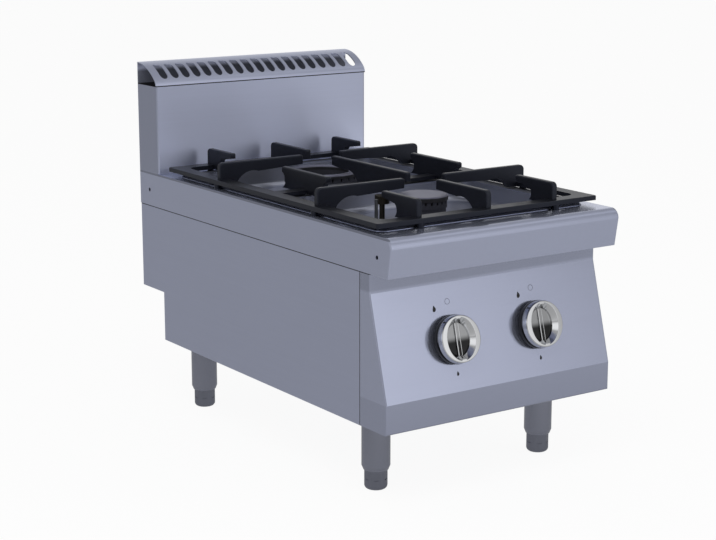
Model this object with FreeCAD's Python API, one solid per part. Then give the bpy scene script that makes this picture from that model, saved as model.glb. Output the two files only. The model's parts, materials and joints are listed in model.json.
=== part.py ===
import FreeCAD, Part
import math
import os

# Countertop gas range: stainless casing on four legs, two open burners, flue riser at the back.
# Millimetres. +X to the right as seen from the front, +Y to the rear, +Z up.
# The origin is on the ground under the middle of the whole range.

V = FreeCAD.Vector

# Casing
hob_width = 400.0
hob_depth = 700.0
hob_top_z = 380.0
skirt_height = 54.0
casing_bottom_z = 110.0
casing_inset = 1.0
sheet = 1.5
sheet_gap = 0.2
seam_gap = 0.6
return_flange = 14.0
fold_radius = 2.5
field_rise = 4.0
field_slope = 3.5
field_side_margin = 17.5
field_front_margin = 50.5
field_rear_margin = 31.5
field_corner_radius = 18.0

# Rounded front edge of the hob
nose_radius = 14.0
nose_lean = 6.6

# Holes that join two ranges side by side
joining_hole_r = 3.0
joining_hole_setback = 31.5
joining_hole_drop = 28.5

# Rear lower notch for the gas connection
notch_depth = 70.0
notch_height = 79.0

# Control panel
panel_tilt_deg = 15.0
panel_top_setback = 50.0
panel_top_drop = 28.0
panel_lip_height = 42.0
cheek_depth = 23.0
spindle_hole_r = 7.0

# Flue riser and grille
flue_depth = 62.0
flue_corner_radius = 4.0
flue_seam_height = 139.0
flue_cap_height = 35.0
flue_lip_radius = 14.75
flue_opening_margin = 12.0
flue_opening_end = 22.0
flue_tab = 14.0
slot_count = 19
slot_pitch = 20.0
slot_width = 13.5
slot_setback = 5.5
slot_reach = 33.5

# Legs and feet
leg_side_inset = 52.0
leg_front_inset = 107.0
leg_rear_inset = 106.0
leg_r = 20.5
leg_wall = 1.6
leg_flange_r = 32.0
leg_flange_thickness = 3.0
leg_end_thickness = 14.0
leg_end_taper = 6.0
leg_screw_circle_r = 26.5
foot_height = 29.0
foot_r = 16.5
foot_edge_radius = 6.0
foot_flat_cut = 0.8
foot_flat_height = 14.0
foot_stem_r = 8.0
foot_stem_length = 62.0
thread_clearance = 0.06

# Screws
screw_r = 2.0
screw_head_r = 4.0
screw_head_height = 2.0
screw_length = 8.0
screw_hole_clearance = 0.1
back_screw_rows = 3
back_screw_margin = 24.0
flue_screw_count = 3
flue_screw_pitch = 130.0

# Burner wells
well_side_margin = 40.0
well_front_margin = 82.0
well_rear_margin = 50.0
well_bridge = 34.0
well_depth = 30.0
well_corner_radius = 34.0
well_floor_radius = 10.0
well_flange = 10.0
well_burner_clearance = 4.0

# Burners
front_burner_setback = 200.0
rear_burner_margin = 168.0
cup_r = 34.0
cup_bore_r = 28.0
cup_floor = 6.0
crown_height = 11.0
crown_seat_drop = 6.0
crown_spigot = 5.0
fit_gap = 0.1
port_width = 2.5
port_depth = 5.0
port_count = 24
front_crown_r = 35.0
front_crown_bore_r = 30.0
front_cap_thickness = 7.5
rear_crown_r = 58.0
rear_crown_bore_r = 44.0
rear_cup_mouth_r = 50.0
rear_groove_wall = 5.0
rear_cap_thickness = 6.0
cap_overhang = 1.5
cap_edge_radius = 2.5
cap_spigot_wall = 5.0
cap_spigot_depth = 5.0
cap_spigot_gap = 0.5

# Mixing tube, injector and bracket under each burner
bracket_drop = 80.0
bracket_width = 50.0
bracket_flange = 20.0
mixing_height = 22.0
mixing_r = 16.0
mixing_bore_r = 12.0
mixing_length = 90.0
mouth_r = 20.0
mouth_length = 16.0
bridge_half_width = 8.0
bridge_thickness = 6.0
bridge_overlap = 20.0
bridge_reach = 22.0
post_half_width = 14.0
post_thickness = 4.0
post_rise = 16.0
injector_r = 6.0
injector_block = 18.0
injector_tip_r = 4.0
injector_tip = 8.0
injector_thread = 12.0
injector_inlet_r = 6.0
injector_inlet = 8.0

# Pilot burners and thermocouples, placed from the burner's centre
pilot_gap = 29.0
pilot_bearing_deg = 57.0
pilot_r = 4.0
pilot_rise = 36.0
pilot_tail = 18.0
pilot_hood_r = 11.0
pilot_hood = 12.0
probe_x = 62.0
probe_y = 30.0
probe_r = 2.5
probe_rise = 36.0
probe_tail = 14.0
gland_r = 9.0
gland_thickness = 3.0
gland_gap = 0.3

# Knobs and gas taps, measured along the knob's axis from the panel's face
knob_pitch = 148.0
knob_drop = 79.0
knob_back = 4.5
skirt_thickness = 5.0
skirt_r = 34.4
skirt_wall = 4.4
skirt_cavity = 3.0
knob_hub_r = 10.0
knob_r = 34.0
knob_front_r = 32.8
knob_thickness = 12.0
knob_edge_radius = 1.5
knob_floor = 1.5
knob_valley_half = 24.5
knob_valley_floor_half = 18.0
knob_valley_reach = 30.5
knob_bar_half = 3.9
knob_bar_height = 2.5
bezel_r = 28.0
bezel_hole_r = 12.0
bezel_thickness = 2.0
spindle_r = 4.0
spindle_flat = 1.2
spindle_gap = 0.05
collar_r = 6.4
collar_length = 4.0
tap_front = 6.0
tap_neck = 10.0
tap_neck_r = 9.0
tap_r = 15.0
tap_length = 50.0
tap_end_wall = 2.0
push_travel = 4.0
plunger_length = 12.0
plunger_end_gap = 0.3
magnet_r = 10.0
magnet_length = 18.0
outlet_depth = 34.0
outlet_r = 7.0
outlet_length = 24.0
pilot_port_depth = 24.0
pilot_port_r = 5.0
pilot_port_length = 26.0
tap_inlet_r = 8.0
boss_r = 10.0
boss_height = 14.0

# Gas pipes
manifold_drop = 53.0
manifold_overrun = 40.0
pipe_r = 10.0
pipe_bore_r = 8.0
pipe_bend = 28.0
inlet_side_inset = 50.0
inlet_reach = 42.0
inlet_thread_r = 10.48
inlet_thread_length = 30.0
inlet_hole_clearance = 0.5
locknut_flats = 30.0
locknut_thickness = 8.0
pipe_fit = 0.1
clip_thickness = 3.0
clip_half_width = 15.0
clip_rise = 15.0
clip_foot = 20.0
clip_inset = 12.0
supply_r = 4.0
supply_bore_r = 3.0
supply_bend = 14.0
supply_rise = 28.0
supply_lane_drop = 62.0
pilot_tube_r = 2.0
pilot_tube_bore_r = 1.2
pilot_tube_bend = 9.0
pilot_lane_x = 25.0
pilot_lane_rise = 14.0
pilot_lane_lead = 34.0
lead_r = 1.5
lead_bend = 12.0
lead_straight = 20.0

# Pot grate
grate_side_margin = 7.0
grate_front_margin = 40.0
grate_rear_margin = 21.0
grate_foot_height = 7.4
grate_foot_r = 5.0
rail_width = 22.0
rail_thickness = 6.6
rail_corner_radius = 4.0
rail_inner_radius = 15.0
rail_edge_radius = 1.5
rib_width = 9.0
rib_height = 31.6
rib_edge_radius = 2.0
rib_shoulder_radius = 7.0
rib_tip_radius = 3.0
rib_side_inset = 7.0
rib_front_inset = 7.0
rib_rear_inset = 2.5
finger_block = 30.0
finger_arch = 38.0
finger_depth = 17.5
finger_tip_depth = 14.0
finger_arch_shoulder = 8.0
burner_clear_r = 36.0
corner_rib_x = 119.0
front_corner_rib = 84.0
rear_corner_rib = 76.0
corner_overhang = 32.0
corner_beak_depth = 8.0
corner_neck_depth = 13.0
corner_neck = 5.0
middle_rail_shift = -5.0
middle_rib_shift = -1.5
middle_rib_half = 61.5
middle_rib_neck = 11.0
middle_block_half = 32.0

# Places worked out from the sizes above
tilt = math.radians(panel_tilt_deg)
half_width = hob_width / 2
casing_half = half_width - casing_inset
inner_half = casing_half - sheet
skirt_bottom_z = hob_top_z - skirt_height
panel_top_z = skirt_bottom_z - panel_top_drop
crease_z = casing_bottom_z + panel_lip_height
knob_seam = knob_back + skirt_thickness
knob_front = knob_seam + knob_thickness
knob_lean = (knob_drop + knob_front_r - knob_edge_radius) * math.sin(tilt)
knob_tip = knob_lean + (knob_front - knob_edge_radius) * math.cos(tilt) + knob_edge_radius
knob_reach = max(0.0, knob_tip - panel_top_setback)
rear_y = (hob_depth + knob_reach - screw_head_height) / 2
nose_y = rear_y - hob_depth
panel_top_y = nose_y + panel_top_setback
crease_y = panel_top_y - (panel_top_z - crease_z) * math.tan(tilt)
cheek_back_y = panel_top_y + cheek_depth
notch_y = rear_y - notch_depth
notch_z = casing_bottom_z + notch_height
base_z = casing_bottom_z + sheet
flue_front_y = rear_y - flue_depth
flue_seam_z = hob_top_z + flue_seam_height
flue_top_z = flue_seam_z + flue_cap_height
front_burner_y = nose_y + front_burner_setback
rear_burner_y = flue_front_y - rear_burner_margin
middle_y = (front_burner_y + rear_burner_y) / 2
field_z = hob_top_z + field_rise
field_half = half_width - field_side_margin
field_front_y = nose_y + field_front_margin
field_rear_y = flue_front_y - field_rear_margin
well_floor_z = hob_top_z - well_depth
well_half_width = half_width - well_side_margin
crown_seat_z = hob_top_z - crown_seat_drop
crown_top_z = crown_seat_z + crown_height
bracket_z = hob_top_z - bracket_drop
mixing_z = bracket_z + mixing_height
screw_hole_r = screw_r + screw_hole_clearance
knob_y = panel_top_y - knob_drop * math.sin(tilt)
knob_z = panel_top_z - knob_drop * math.cos(tilt)
tap_back = tap_front + tap_neck + tap_length
spindle_end = tap_back - tap_end_wall - push_travel - plunger_length - plunger_end_gap
rail_bottom_z = hob_top_z + grate_foot_height
rail_top_z = rail_bottom_z + rail_thickness
rib_top_z = rail_bottom_z + rib_height
grate_half = half_width - grate_side_margin
grate_front_y = nose_y + grate_front_margin
grate_rear_y = flue_front_y - grate_rear_margin
grate_middle_y = middle_y + middle_rail_shift
up = V(0, 0, 1)
parts = {}


def box(x0, x1, y0, y1, z0, z1):
    """A block between two corners."""
    return Part.makeBox(x1 - x0, y1 - y0, z1 - z0, V(x0, y0, z0))


def rod(start, axis, radius, length):
    """A round bar from a point along an axis."""
    return Part.makeCylinder(radius, length, start, axis)


def ring(start, axis, outer, inner, length):
    """A round tube from a point along an axis."""
    return rod(start, axis, outer, length).cut(rod(start, axis, inner, length))


def outline(plane, start, *legs):
    """A closed face: a leg of one point is a line to it, a leg of two is an arc through the first."""
    edges = []
    here = plane(*start)
    for leg in legs + ((start,),):
        ends = [plane(*point) for point in leg]
        if ends[-1].distanceToPoint(here) < 1e-7:
            continue
        if len(ends) == 1:
            edges.append(Part.LineSegment(here, ends[0]).toShape())
        else:
            edges.append(Part.Arc(here, ends[0], ends[1]).toShape())
        here = ends[-1]
    return Part.Face(Part.Wire(edges))


def plane_yz(y, z):
    return V(0, y, z)


def plane_xz(x, z):
    return V(x, 0, z)


def across(face, half):
    """Extrude a face drawn in the YZ plane to both sides of the middle."""
    face.translate(V(-half, 0, 0))
    return face.extrude(V(2 * half, 0, 0))


def turned(points, place=V(0, 0, 0)):
    """A solid of revolution about a vertical line from points of radius and height."""
    face = outline(plane_xz, points[0], *[(point,) for point in points[1:]])
    solid = face.revolve(V(0, 0, 0), up, 360)
    solid.translate(place)
    return solid


def rounded_block(x_half, y0, y1, z0, z1, radius):
    """A block with rounded upright edges, centred on X."""
    block = box(-x_half, x_half, y0, y1, z0, z1)
    upright = [edge for edge in block.Edges if edge.BoundBox.ZLength > (z1 - z0) / 2]
    return block.makeFillet(radius, upright)


def arc_middle(centre, radius, angle_deg):
    """A point on a circle in a drawing plane, with the angle counted from the plane's first axis."""
    angle = math.radians(angle_deg)
    return (centre[0] + radius * math.cos(angle), centre[1] + radius * math.sin(angle))


def mirrored(shape):
    """The same piece on the other side of the range."""
    return shape.mirror(V(0, 0, 0), V(1, 0, 0))


def bent_tube(points, radius, bore, bend):
    """A tube along straight runs joined by tangent arcs; a bore of nothing gives a solid wire."""
    edges = []
    here = points[0]
    for before, corner, after in zip(points, points[1:], points[2:]):
        back = (before - corner).normalize()
        ahead = (after - corner).normalize()
        half = back.getAngle(ahead) / 2
        tangent = bend / math.tan(half)
        inward = (back + ahead).normalize()
        bend_start = corner + back * tangent
        bend_end = corner + ahead * tangent
        bend_middle = corner + inward * (bend / math.sin(half) - bend)
        edges.append(Part.LineSegment(here, bend_start).toShape())
        edges.append(Part.Arc(bend_start, bend_middle, bend_end).toShape())
        here = bend_end
    edges.append(Part.LineSegment(here, points[-1]).toShape())
    path = Part.Wire(edges)
    direction = points[1] - points[0]

    def swept(section_r):
        section = Part.Wire([Part.Circle(points[0], direction, section_r).toShape()])
        return path.makePipeShell([section], True, False)

    return swept(radius).cut(swept(bore)) if bore else swept(radius)


# Casing


def make_hob_top():
    """Top sheet with skirts, rounded nose, return flange, raised field, well mouths and joining holes."""

    def shell_outline(inset):
        front = nose_y + inset
        top = hob_top_z - inset
        radius = nose_radius - inset
        centre = (front + radius, top - radius)
        return outline(
            plane_yz,
            (rear_y - inset, skirt_bottom_z),
            ((rear_y - inset, top),),
            ((centre[0], top),),
            (arc_middle(centre, radius, 135), (front, centre[1])),
            ((front + nose_lean, skirt_bottom_z),),
        )

    outer = across(shell_outline(0), half_width)
    edges = [
        edge for edge in outer.Edges
        if edge.BoundBox.XLength < 1e-6 and edge.BoundBox.ZMax > skirt_bottom_z + fold_radius
        and edge.BoundBox.YMin < rear_y - fold_radius
    ]
    under_flue = box(-half_width, half_width, flue_front_y, rear_y, skirt_bottom_z, hob_top_z)
    outer = outer.makeFillet(fold_radius, edges).fuse(under_flue).removeSplitter()
    inner = across(shell_outline(sheet), half_width - sheet)
    lowest = box(-half_width, half_width, nose_y, rear_y, skirt_bottom_z, skirt_bottom_z + sheet)
    mouth = box(
        -half_width + return_flange, half_width - return_flange,
        nose_y + nose_lean + return_flange, rear_y - return_flange,
        skirt_bottom_z, skirt_bottom_z + sheet,
    )
    field = rounded_block(
        field_half, field_front_y, field_rear_y, hob_top_z - sheet, field_z, field_corner_radius)
    field = field.makeChamfer(field_slope, top_edges(field, field_z))
    inset = field_slope + sheet
    hollow = rounded_block(
        field_half - inset, field_front_y + inset, field_rear_y - inset,
        hob_top_z - sheet, field_z - sheet, field_corner_radius - inset)
    hob = outer.cut([inner.cut(lowest), mouth]).fuse(field).cut(hollow)
    well_cuts = [
        rounded_block(well_half_width, y0, y1, well_floor_z, field_z, well_corner_radius)
        for y0, y1 in well_spans()
    ]
    flue_cut = box(
        -half_width + flue_opening_end, half_width - flue_opening_end,
        flue_front_y + flue_opening_margin, rear_y - flue_opening_margin,
        hob_top_z - sheet, hob_top_z,
    )
    hole_z = hob_top_z - joining_hole_drop
    hole_ys = (nose_y + joining_hole_setback, rear_y - joining_hole_setback)
    holes = [rod(V(-half_width, y, hole_z), V(1, 0, 0), joining_hole_r, hob_width) for y in hole_ys]
    return hob.cut(well_cuts + [flue_cut] + holes).removeSplitter()


def well_spans():
    """Front and rear ends of the two wells."""
    return (
        (nose_y + well_front_margin, middle_y - well_bridge / 2),
        (middle_y + well_bridge / 2, flue_front_y - well_rear_margin),
    )


def make_well(span, burner_y, side, crown_r):
    """Pressed well that hangs under its mouth in the hob, with holes for burner, pilot and probe."""
    y0, y1 = span
    under_top = field_z - sheet
    floor = well_floor_z
    outside = rounded_block(
        well_half_width + sheet, y0 - sheet, y1 + sheet, floor - sheet, under_top,
        well_corner_radius + sheet)
    outside = outside.makeFillet(well_floor_radius + sheet, bottom_edges(outside, floor - sheet))
    inside = rounded_block(well_half_width, y0, y1, floor, under_top, well_corner_radius)
    inside = inside.makeFillet(well_floor_radius, bottom_edges(inside, floor))
    flange = rounded_block(
        well_half_width + well_flange, y0 - well_flange, y1 + well_flange,
        under_top - sheet, under_top, well_corner_radius + well_flange)
    dish = outside.fuse(flange).cut(inside)
    below = floor - 2 * sheet
    holes = [
        rod(V(0, burner_y, below), up, cup_r + well_burner_clearance, 4 * sheet),
        rod(pilot_place(burner_y, side, crown_r, below), up, pilot_r + gland_gap, 4 * sheet),
        rod(V(side * probe_x, burner_y + probe_y, below), up, probe_r + gland_gap, 4 * sheet),
    ]
    return dish.cut(holes).removeSplitter()


def bottom_edges(shape, z):
    return [edge for edge in shape.Edges if edge.BoundBox.ZMax < z + 1e-6]


def top_edges(shape, z):
    return [edge for edge in shape.Edges if edge.BoundBox.ZMin > z - 1e-6]


def make_side_panel():
    """Left side sheet with the rear notch and inward flanges."""
    front = cheek_back_y + seam_gap
    face = outline(
        plane_yz,
        (front, casing_bottom_z),
        ((notch_y, casing_bottom_z),),
        ((notch_y, notch_z),),
        ((rear_y, notch_z),),
        ((rear_y, skirt_bottom_z),),
        ((front, skirt_bottom_z),),
    )
    face.translate(V(-casing_half, 0, 0))
    plate = face.extrude(V(sheet, 0, 0))
    x0 = -inner_half
    x1 = x0 + return_flange
    flange_y = rear_y - sheet
    bottom = box(x0, x1, front, notch_y, casing_bottom_z, base_z)
    top = box(x0, x1, front, flange_y, skirt_bottom_z - sheet, skirt_bottom_z)
    rear = box(x0, x1, flange_y - sheet, flange_y, notch_z + sheet, skirt_bottom_z)
    places = back_screw_points(flange_y - 2 * sheet)
    holes = [rod(point, V(0, 1, 0), screw_hole_r, 3 * sheet) for point in places]
    return plate.fuse([bottom, top, rear]).cut(holes).removeSplitter()


def back_screw_points(y):
    """Screw places down both rear flanges."""
    x = inner_half - return_flange / 2
    first = notch_z + back_screw_margin
    step = (skirt_bottom_z - back_screw_margin - first) / (back_screw_rows - 1)
    return [V(side * x, y, first + row * step) for side in (-1, 1) for row in range(back_screw_rows)]


def make_back_panel():
    """Rear sheet that steps forward into the notch, with the hole for the gas inlet."""
    half = inner_half - sheet_gap
    upper = box(-half, half, rear_y - sheet, rear_y, notch_z, skirt_bottom_z)
    step = box(-half, half, notch_y - sheet, rear_y, notch_z, notch_z + sheet)
    lower = box(-half, half, notch_y - sheet, notch_y, base_z + sheet, notch_z + sheet)
    places = back_screw_points(rear_y - 2 * sheet)
    holes = [rod(point, V(0, 1, 0), screw_hole_r, 3 * sheet) for point in places]
    inlet = V(inlet_axis().x, notch_y - 2 * sheet, inlet_axis().z)
    holes.append(rod(inlet, V(0, 1, 0), pipe_r + inlet_hole_clearance, 3 * sheet))
    return upper.fuse([step, lower]).cut(holes).removeSplitter()


def make_base_pan():
    """Bottom sheet that lies on the side flanges and carries the legs."""
    half = inner_half - sheet_gap
    pan = box(-half, half, crease_y + sheet + return_flange, notch_y, base_z, base_z + sheet)
    places = [point for leg in leg_places() for point in leg_screw_points(leg)]
    return pan.cut([rod(point - up * sheet, up, screw_hole_r, 4 * sheet) for point in places])


def make_control_panel():
    """Tilted front sheet with an upright strip above, a lip below, a bottom return and side cheeks."""
    slope = math.tan(tilt)
    shift = sheet * (1 / math.cos(tilt) - 1) / slope
    outer = across(outline(
        plane_yz,
        (panel_top_y, skirt_bottom_z),
        ((panel_top_y, panel_top_z),),
        ((crease_y, crease_z),),
        ((crease_y, casing_bottom_z),),
        ((cheek_back_y, casing_bottom_z),),
        ((cheek_back_y, skirt_bottom_z),),
    ), casing_half)
    edges = [
        edge for edge in outer.Edges
        if edge.BoundBox.YMax < panel_top_y + 1e-6 and edge.BoundBox.XLength < 1e-6
    ]
    edges += [
        edge for edge in outer.Edges
        if edge.BoundBox.XLength > casing_half and abs(edge.BoundBox.YMin - crease_y) < 1e-6
    ]
    outer = outer.makeFillet(fold_radius, edges)
    inner = across(outline(
        plane_yz,
        (panel_top_y + sheet, skirt_bottom_z),
        ((panel_top_y + sheet, panel_top_z - shift),),
        ((crease_y + sheet, crease_z - shift),),
        ((crease_y + sheet, base_z),),
        ((cheek_back_y, base_z),),
        ((cheek_back_y, skirt_bottom_z),),
    ), inner_half)
    hole = rod(V(0, 0, -3 * sheet), up, spindle_hole_r, 6 * sheet)
    return outer.cut([inner] + [on_panel(side, hole) for side in (-1, 1)])


def on_panel(side, shape):
    """Place a piece drawn on the knob's axis: local Z leaves the panel, local Y runs up the panel."""
    placed = shape.copy()
    placed.Placement = knob_placement(side).multiply(placed.Placement)
    return placed


def knob_placement(side):
    turn = FreeCAD.Rotation(V(1, 0, 0), 90 - panel_tilt_deg)
    return FreeCAD.Placement(V(side * knob_pitch / 2, knob_y, knob_z), turn)


# Flue


def flue_cap_outline(inset):
    """The grille's section: a small arc off the flue's front, a large one to the top, a leg at the rear."""
    lip = flue_lip_radius
    chord = flue_depth ** 2 + flue_cap_height ** 2
    crown = (chord - 2 * flue_depth * lip) / (2 * (flue_cap_height - lip))
    level = crown - flue_cap_height
    lip_centre = (flue_front_y + lip, flue_seam_z)
    crown_centre = (rear_y, flue_seam_z - level)
    lean = math.degrees(math.atan2(level, lip_centre[0] - rear_y))
    joint = arc_middle(crown_centre, crown - inset, lean)
    return (
        (flue_front_y + inset, flue_seam_z),
        (arc_middle(lip_centre, lip - inset, (180 + lean) / 2), joint),
        (arc_middle(crown_centre, crown - inset, (90 + lean) / 2), (rear_y, flue_top_z - inset)),
    )


def make_flue_grille():
    """Curved cap with a row of slots along its slope and a tab behind for its screws."""
    start, small, large = flue_cap_outline(0)
    outer = across(outline(plane_yz, start, small, large, ((rear_y, flue_seam_z),)), half_width)
    start, small, large = flue_cap_outline(sheet)
    inner = across(outline(plane_yz, start, small, large, ((rear_y, flue_seam_z),)), half_width)
    inner = inner.cut(box(-half_width, half_width, rear_y - 2 * sheet, rear_y, flue_seam_z, flue_top_z))
    half = half_width - sheet - sheet_gap
    tab = box(-half, half, rear_y - 2 * sheet, rear_y - sheet, flue_seam_z - flue_tab, flue_seam_z)
    cap = outer.cut(inner).fuse(tab)
    y0 = flue_front_y + slot_setback
    slots = []
    for index in range(slot_count):
        x = (index - (slot_count - 1) / 2) * slot_pitch
        half_slot = slot_width / 2
        slot = rounded_block(half_slot, y0, y0 + slot_reach, flue_seam_z, flue_top_z, half_slot - 0.01)
        slot.translate(V(x, 0, 0))
        slots.append(slot)
    places = flue_screw_points(rear_y - 3 * sheet)
    holes = [rod(point, V(0, 1, 0), screw_hole_r, 3 * sheet) for point in places]
    return cap.cut(slots + holes).removeSplitter()


def flue_screw_points(y):
    z = flue_seam_z - flue_tab / 2
    first = -(flue_screw_count - 1) / 2
    return [V((first + index) * flue_screw_pitch, y, z) for index in range(flue_screw_count)]


def make_flue_riser():
    """Front and sides of the flue in one folded sheet, with a bottom flange on the hob."""
    outer = folded_front(half_width, flue_front_y, hob_top_z, flue_corner_radius)
    inner = folded_front(
        half_width - sheet, flue_front_y + sheet, hob_top_z + sheet, flue_corner_radius - sheet)
    opening = box(
        -half_width + flue_opening_end, half_width - flue_opening_end,
        flue_front_y + flue_opening_margin, rear_y, hob_top_z, hob_top_z + sheet)
    foot = box(
        -half_width + sheet, half_width - sheet, rear_y - sheet, rear_y, hob_top_z, hob_top_z + sheet)
    return outer.cut([inner, opening, foot])


def folded_front(x_half, front_y, bottom_z, radius):
    """The flue's block, from a front with rounded upright edges to the rear."""
    block = box(-x_half, x_half, front_y, rear_y, bottom_z, flue_seam_z)
    corners = [
        edge for edge in block.Edges
        if edge.BoundBox.ZLength > flue_seam_height / 2 and edge.BoundBox.YMax < front_y + 1e-6
    ]
    return block.makeFillet(radius, corners)


def make_flue_back():
    half = half_width - sheet - sheet_gap
    back = box(-half, half, rear_y - sheet, rear_y, hob_top_z, flue_seam_z)
    places = flue_screw_points(rear_y - 2 * sheet)
    return back.cut([rod(point, V(0, 1, 0), screw_hole_r, 3 * sheet) for point in places])


def screw(place, inward):
    """A pan-head screw whose head stands outside the place and whose shank runs inward."""
    top = place - inward * screw_head_height
    head = rod(top, inward, screw_head_r, screw_head_height)
    rim = [edge for edge in head.Edges if edge.BoundBox.Center.distanceToPoint(top) < 1e-6]
    return head.makeFillet(screw_head_height / 2, rim).fuse(rod(place, inward, screw_r, screw_length))


# Legs and feet


def leg_places():
    """Where the four legs stand: name and centre on the ground."""
    x = half_width - leg_side_inset
    front = nose_y + leg_front_inset
    rear = rear_y - leg_rear_inset
    return {
        "front_left": V(-x, front, 0),
        "front_right": V(x, front, 0),
        "rear_left": V(-x, rear, 0),
        "rear_right": V(x, rear, 0),
    }


def leg_screw_points(name):
    """Four screws round a leg's flange, on the underside of the base pan."""
    middle = leg_places()[name]
    points = []
    for quarter in range(4):
        angle = math.radians(45 + 90 * quarter)
        points.append(middle + V(math.cos(angle), math.sin(angle), 0) * leg_screw_circle_r + up * base_z)
    return points


def make_leg(name):
    """Flanged tube, drawn in at its lower end over a threaded end piece."""
    middle = leg_places()[name]
    flange_z = base_z - leg_flange_thickness
    end_r = foot_r + leg_wall
    shell = turned([
        (0, foot_height), (end_r, foot_height), (leg_r, foot_height + leg_end_taper),
        (leg_r, flange_z), (leg_flange_r, flange_z), (leg_flange_r, base_z), (0, base_z),
    ], middle)
    hollow_z = foot_height + leg_end_thickness
    hollow = rod(middle + up * hollow_z, up, leg_r - leg_wall, flange_z - hollow_z)
    thread = rod(middle + up * foot_height, up, foot_stem_r + thread_clearance, leg_end_thickness)
    drop = up * leg_flange_thickness
    places = leg_screw_points(name)
    holes = [rod(point - drop, up, screw_hole_r, leg_flange_thickness) for point in places]
    return shell.cut([hollow, thread] + holes)


def make_foot(name):
    """Levelling foot: rounded pad with spanner flats and a threaded stem."""
    middle = leg_places()[name]
    pad = rod(V(0, 0, 0), up, foot_r, foot_height)
    pad = pad.makeFillet(foot_edge_radius, bottom_edges(pad, 0))
    flat_z = foot_height - foot_flat_height
    reach = foot_r - foot_flat_cut
    for sixth in range(6):
        cut = box(reach, 2 * foot_r, -foot_r, foot_r, flat_z, foot_height)
        cut.rotate(V(0, 0, 0), up, 60 * sixth)
        pad = pad.cut(cut)
    foot = pad.fuse(rod(up * foot_height, up, foot_stem_r, foot_stem_length))
    foot.translate(middle)
    return foot


# Burners


def make_bracket(burner_y):
    """Cross channel between the side sheets that carries a burner."""
    half = bracket_width / 2
    outer = box(
        -inner_half, inner_half, burner_y - half, burner_y + half, bracket_z - bracket_flange, bracket_z)
    hollow = box(
        -inner_half + sheet, inner_half - sheet, burner_y - half + sheet, burner_y + half - sheet,
        bracket_z - bracket_flange, bracket_z - sheet)
    return outer.cut(hollow)


def make_burner_body(burner_y, mouth_bore, rim_r):
    """Cast cup with its side-entry mixing tube and the bridge that holds the injector."""
    middle = V(0, burner_y, 0)
    flare_z = well_floor_z + sheet
    cup = turned([
        (0, bracket_z), (cup_r, bracket_z), (cup_r, flare_z), (rim_r, crown_seat_z - crown_spigot),
        (rim_r, crown_seat_z), (0, crown_seat_z),
    ], middle)
    bore_steps = [(0, bracket_z + cup_floor), (cup_bore_r, bracket_z + cup_floor), (cup_bore_r, flare_z)]
    if mouth_bore > cup_bore_r:
        bore_steps.append((mouth_bore, crown_seat_z - crown_spigot))
    chamber = turned(bore_steps + [(mouth_bore, crown_seat_z), (0, crown_seat_z)], middle)
    forward = V(0, -1, 0)
    axis = V(0, burner_y, mixing_z)
    mouth_start = axis + forward * (mixing_length - mouth_length)
    pipe = rod(axis, forward, mixing_r, mixing_length)
    mouth = Part.makeCone(mixing_r, mouth_r, mouth_length, mouth_start, forward)
    mouth_bore_cut = Part.makeCone(
        mixing_bore_r, mouth_r - (mixing_r - mixing_bore_r), mouth_length, mouth_start, forward)
    bridge_z = mixing_z - mouth_r
    post_y = burner_y - mixing_length - bridge_reach
    bridge = box(
        -bridge_half_width, bridge_half_width, post_y, burner_y - mixing_length + bridge_overlap,
        bridge_z, bridge_z + bridge_thickness)
    post = box(
        -post_half_width, post_half_width, post_y, post_y + post_thickness, bridge_z, mixing_z + post_rise)
    hole = rod(V(0, post_y, mixing_z), V(0, 1, 0), injector_r + fit_gap, post_thickness)
    bore = rod(axis, forward, mixing_bore_r, mixing_length)
    return cup.fuse([pipe, mouth, bridge, post]).cut([chamber, bore, mouth_bore_cut, hole]).removeSplitter()


def make_injector(burner_y):
    """Brass injector: block in front of the post, thread through it, jet behind and an inlet below."""
    post_y = burner_y - mixing_length - bridge_reach
    half = injector_block / 2
    block = box(-half, half, post_y - injector_block, post_y, mixing_z - half, mixing_z + half)
    upright = [edge for edge in block.Edges if edge.BoundBox.YLength > half]
    block = block.makeChamfer(half / 3, upright)
    back = V(0, 1, 0)
    thread = rod(V(0, post_y, mixing_z), back, injector_r, injector_thread)
    jet_start = V(0, post_y + injector_thread, mixing_z)
    jet = Part.makeCone(injector_r, injector_tip_r, injector_tip, jet_start, back)
    inlet = rod(injector_inlet_end(burner_y), up, injector_inlet_r, injector_inlet + half)
    return block.fuse([thread, jet, inlet]).removeSplitter()


def injector_inlet_end(burner_y):
    post_y = burner_y - mixing_length - bridge_reach
    half = injector_block / 2
    return V(0, post_y - half, mixing_z - half - injector_inlet)


def port_cuts(burner_y, inner, outer):
    """Radial flame ports cut down from the crown's top."""
    cuts = []
    for index in range(port_count):
        cut = box(inner, outer, -port_width / 2, port_width / 2, crown_top_z - port_depth, crown_top_z)
        cut.rotate(V(0, 0, 0), up, 360.0 * index / port_count)
        cut.translate(V(0, burner_y, 0))
        cuts.append(cut)
    return cuts


def make_front_crown():
    """Plain port ring that plugs into the cup's mouth."""
    middle = V(0, front_burner_y, crown_seat_z)
    body = ring(middle, up, front_crown_r, front_crown_bore_r, crown_height)
    inner = cup_bore_r - fit_gap - cap_spigot_wall
    plug = ring(middle - up * crown_spigot, up, cup_bore_r - fit_gap, inner, crown_spigot + sheet)
    lip = ring(middle, up, front_crown_bore_r + sheet, inner, sheet)
    cuts = port_cuts(front_burner_y, front_crown_bore_r - sheet, front_crown_r + sheet)
    return body.fuse([plug, lip]).cut(cuts).removeSplitter()


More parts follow.
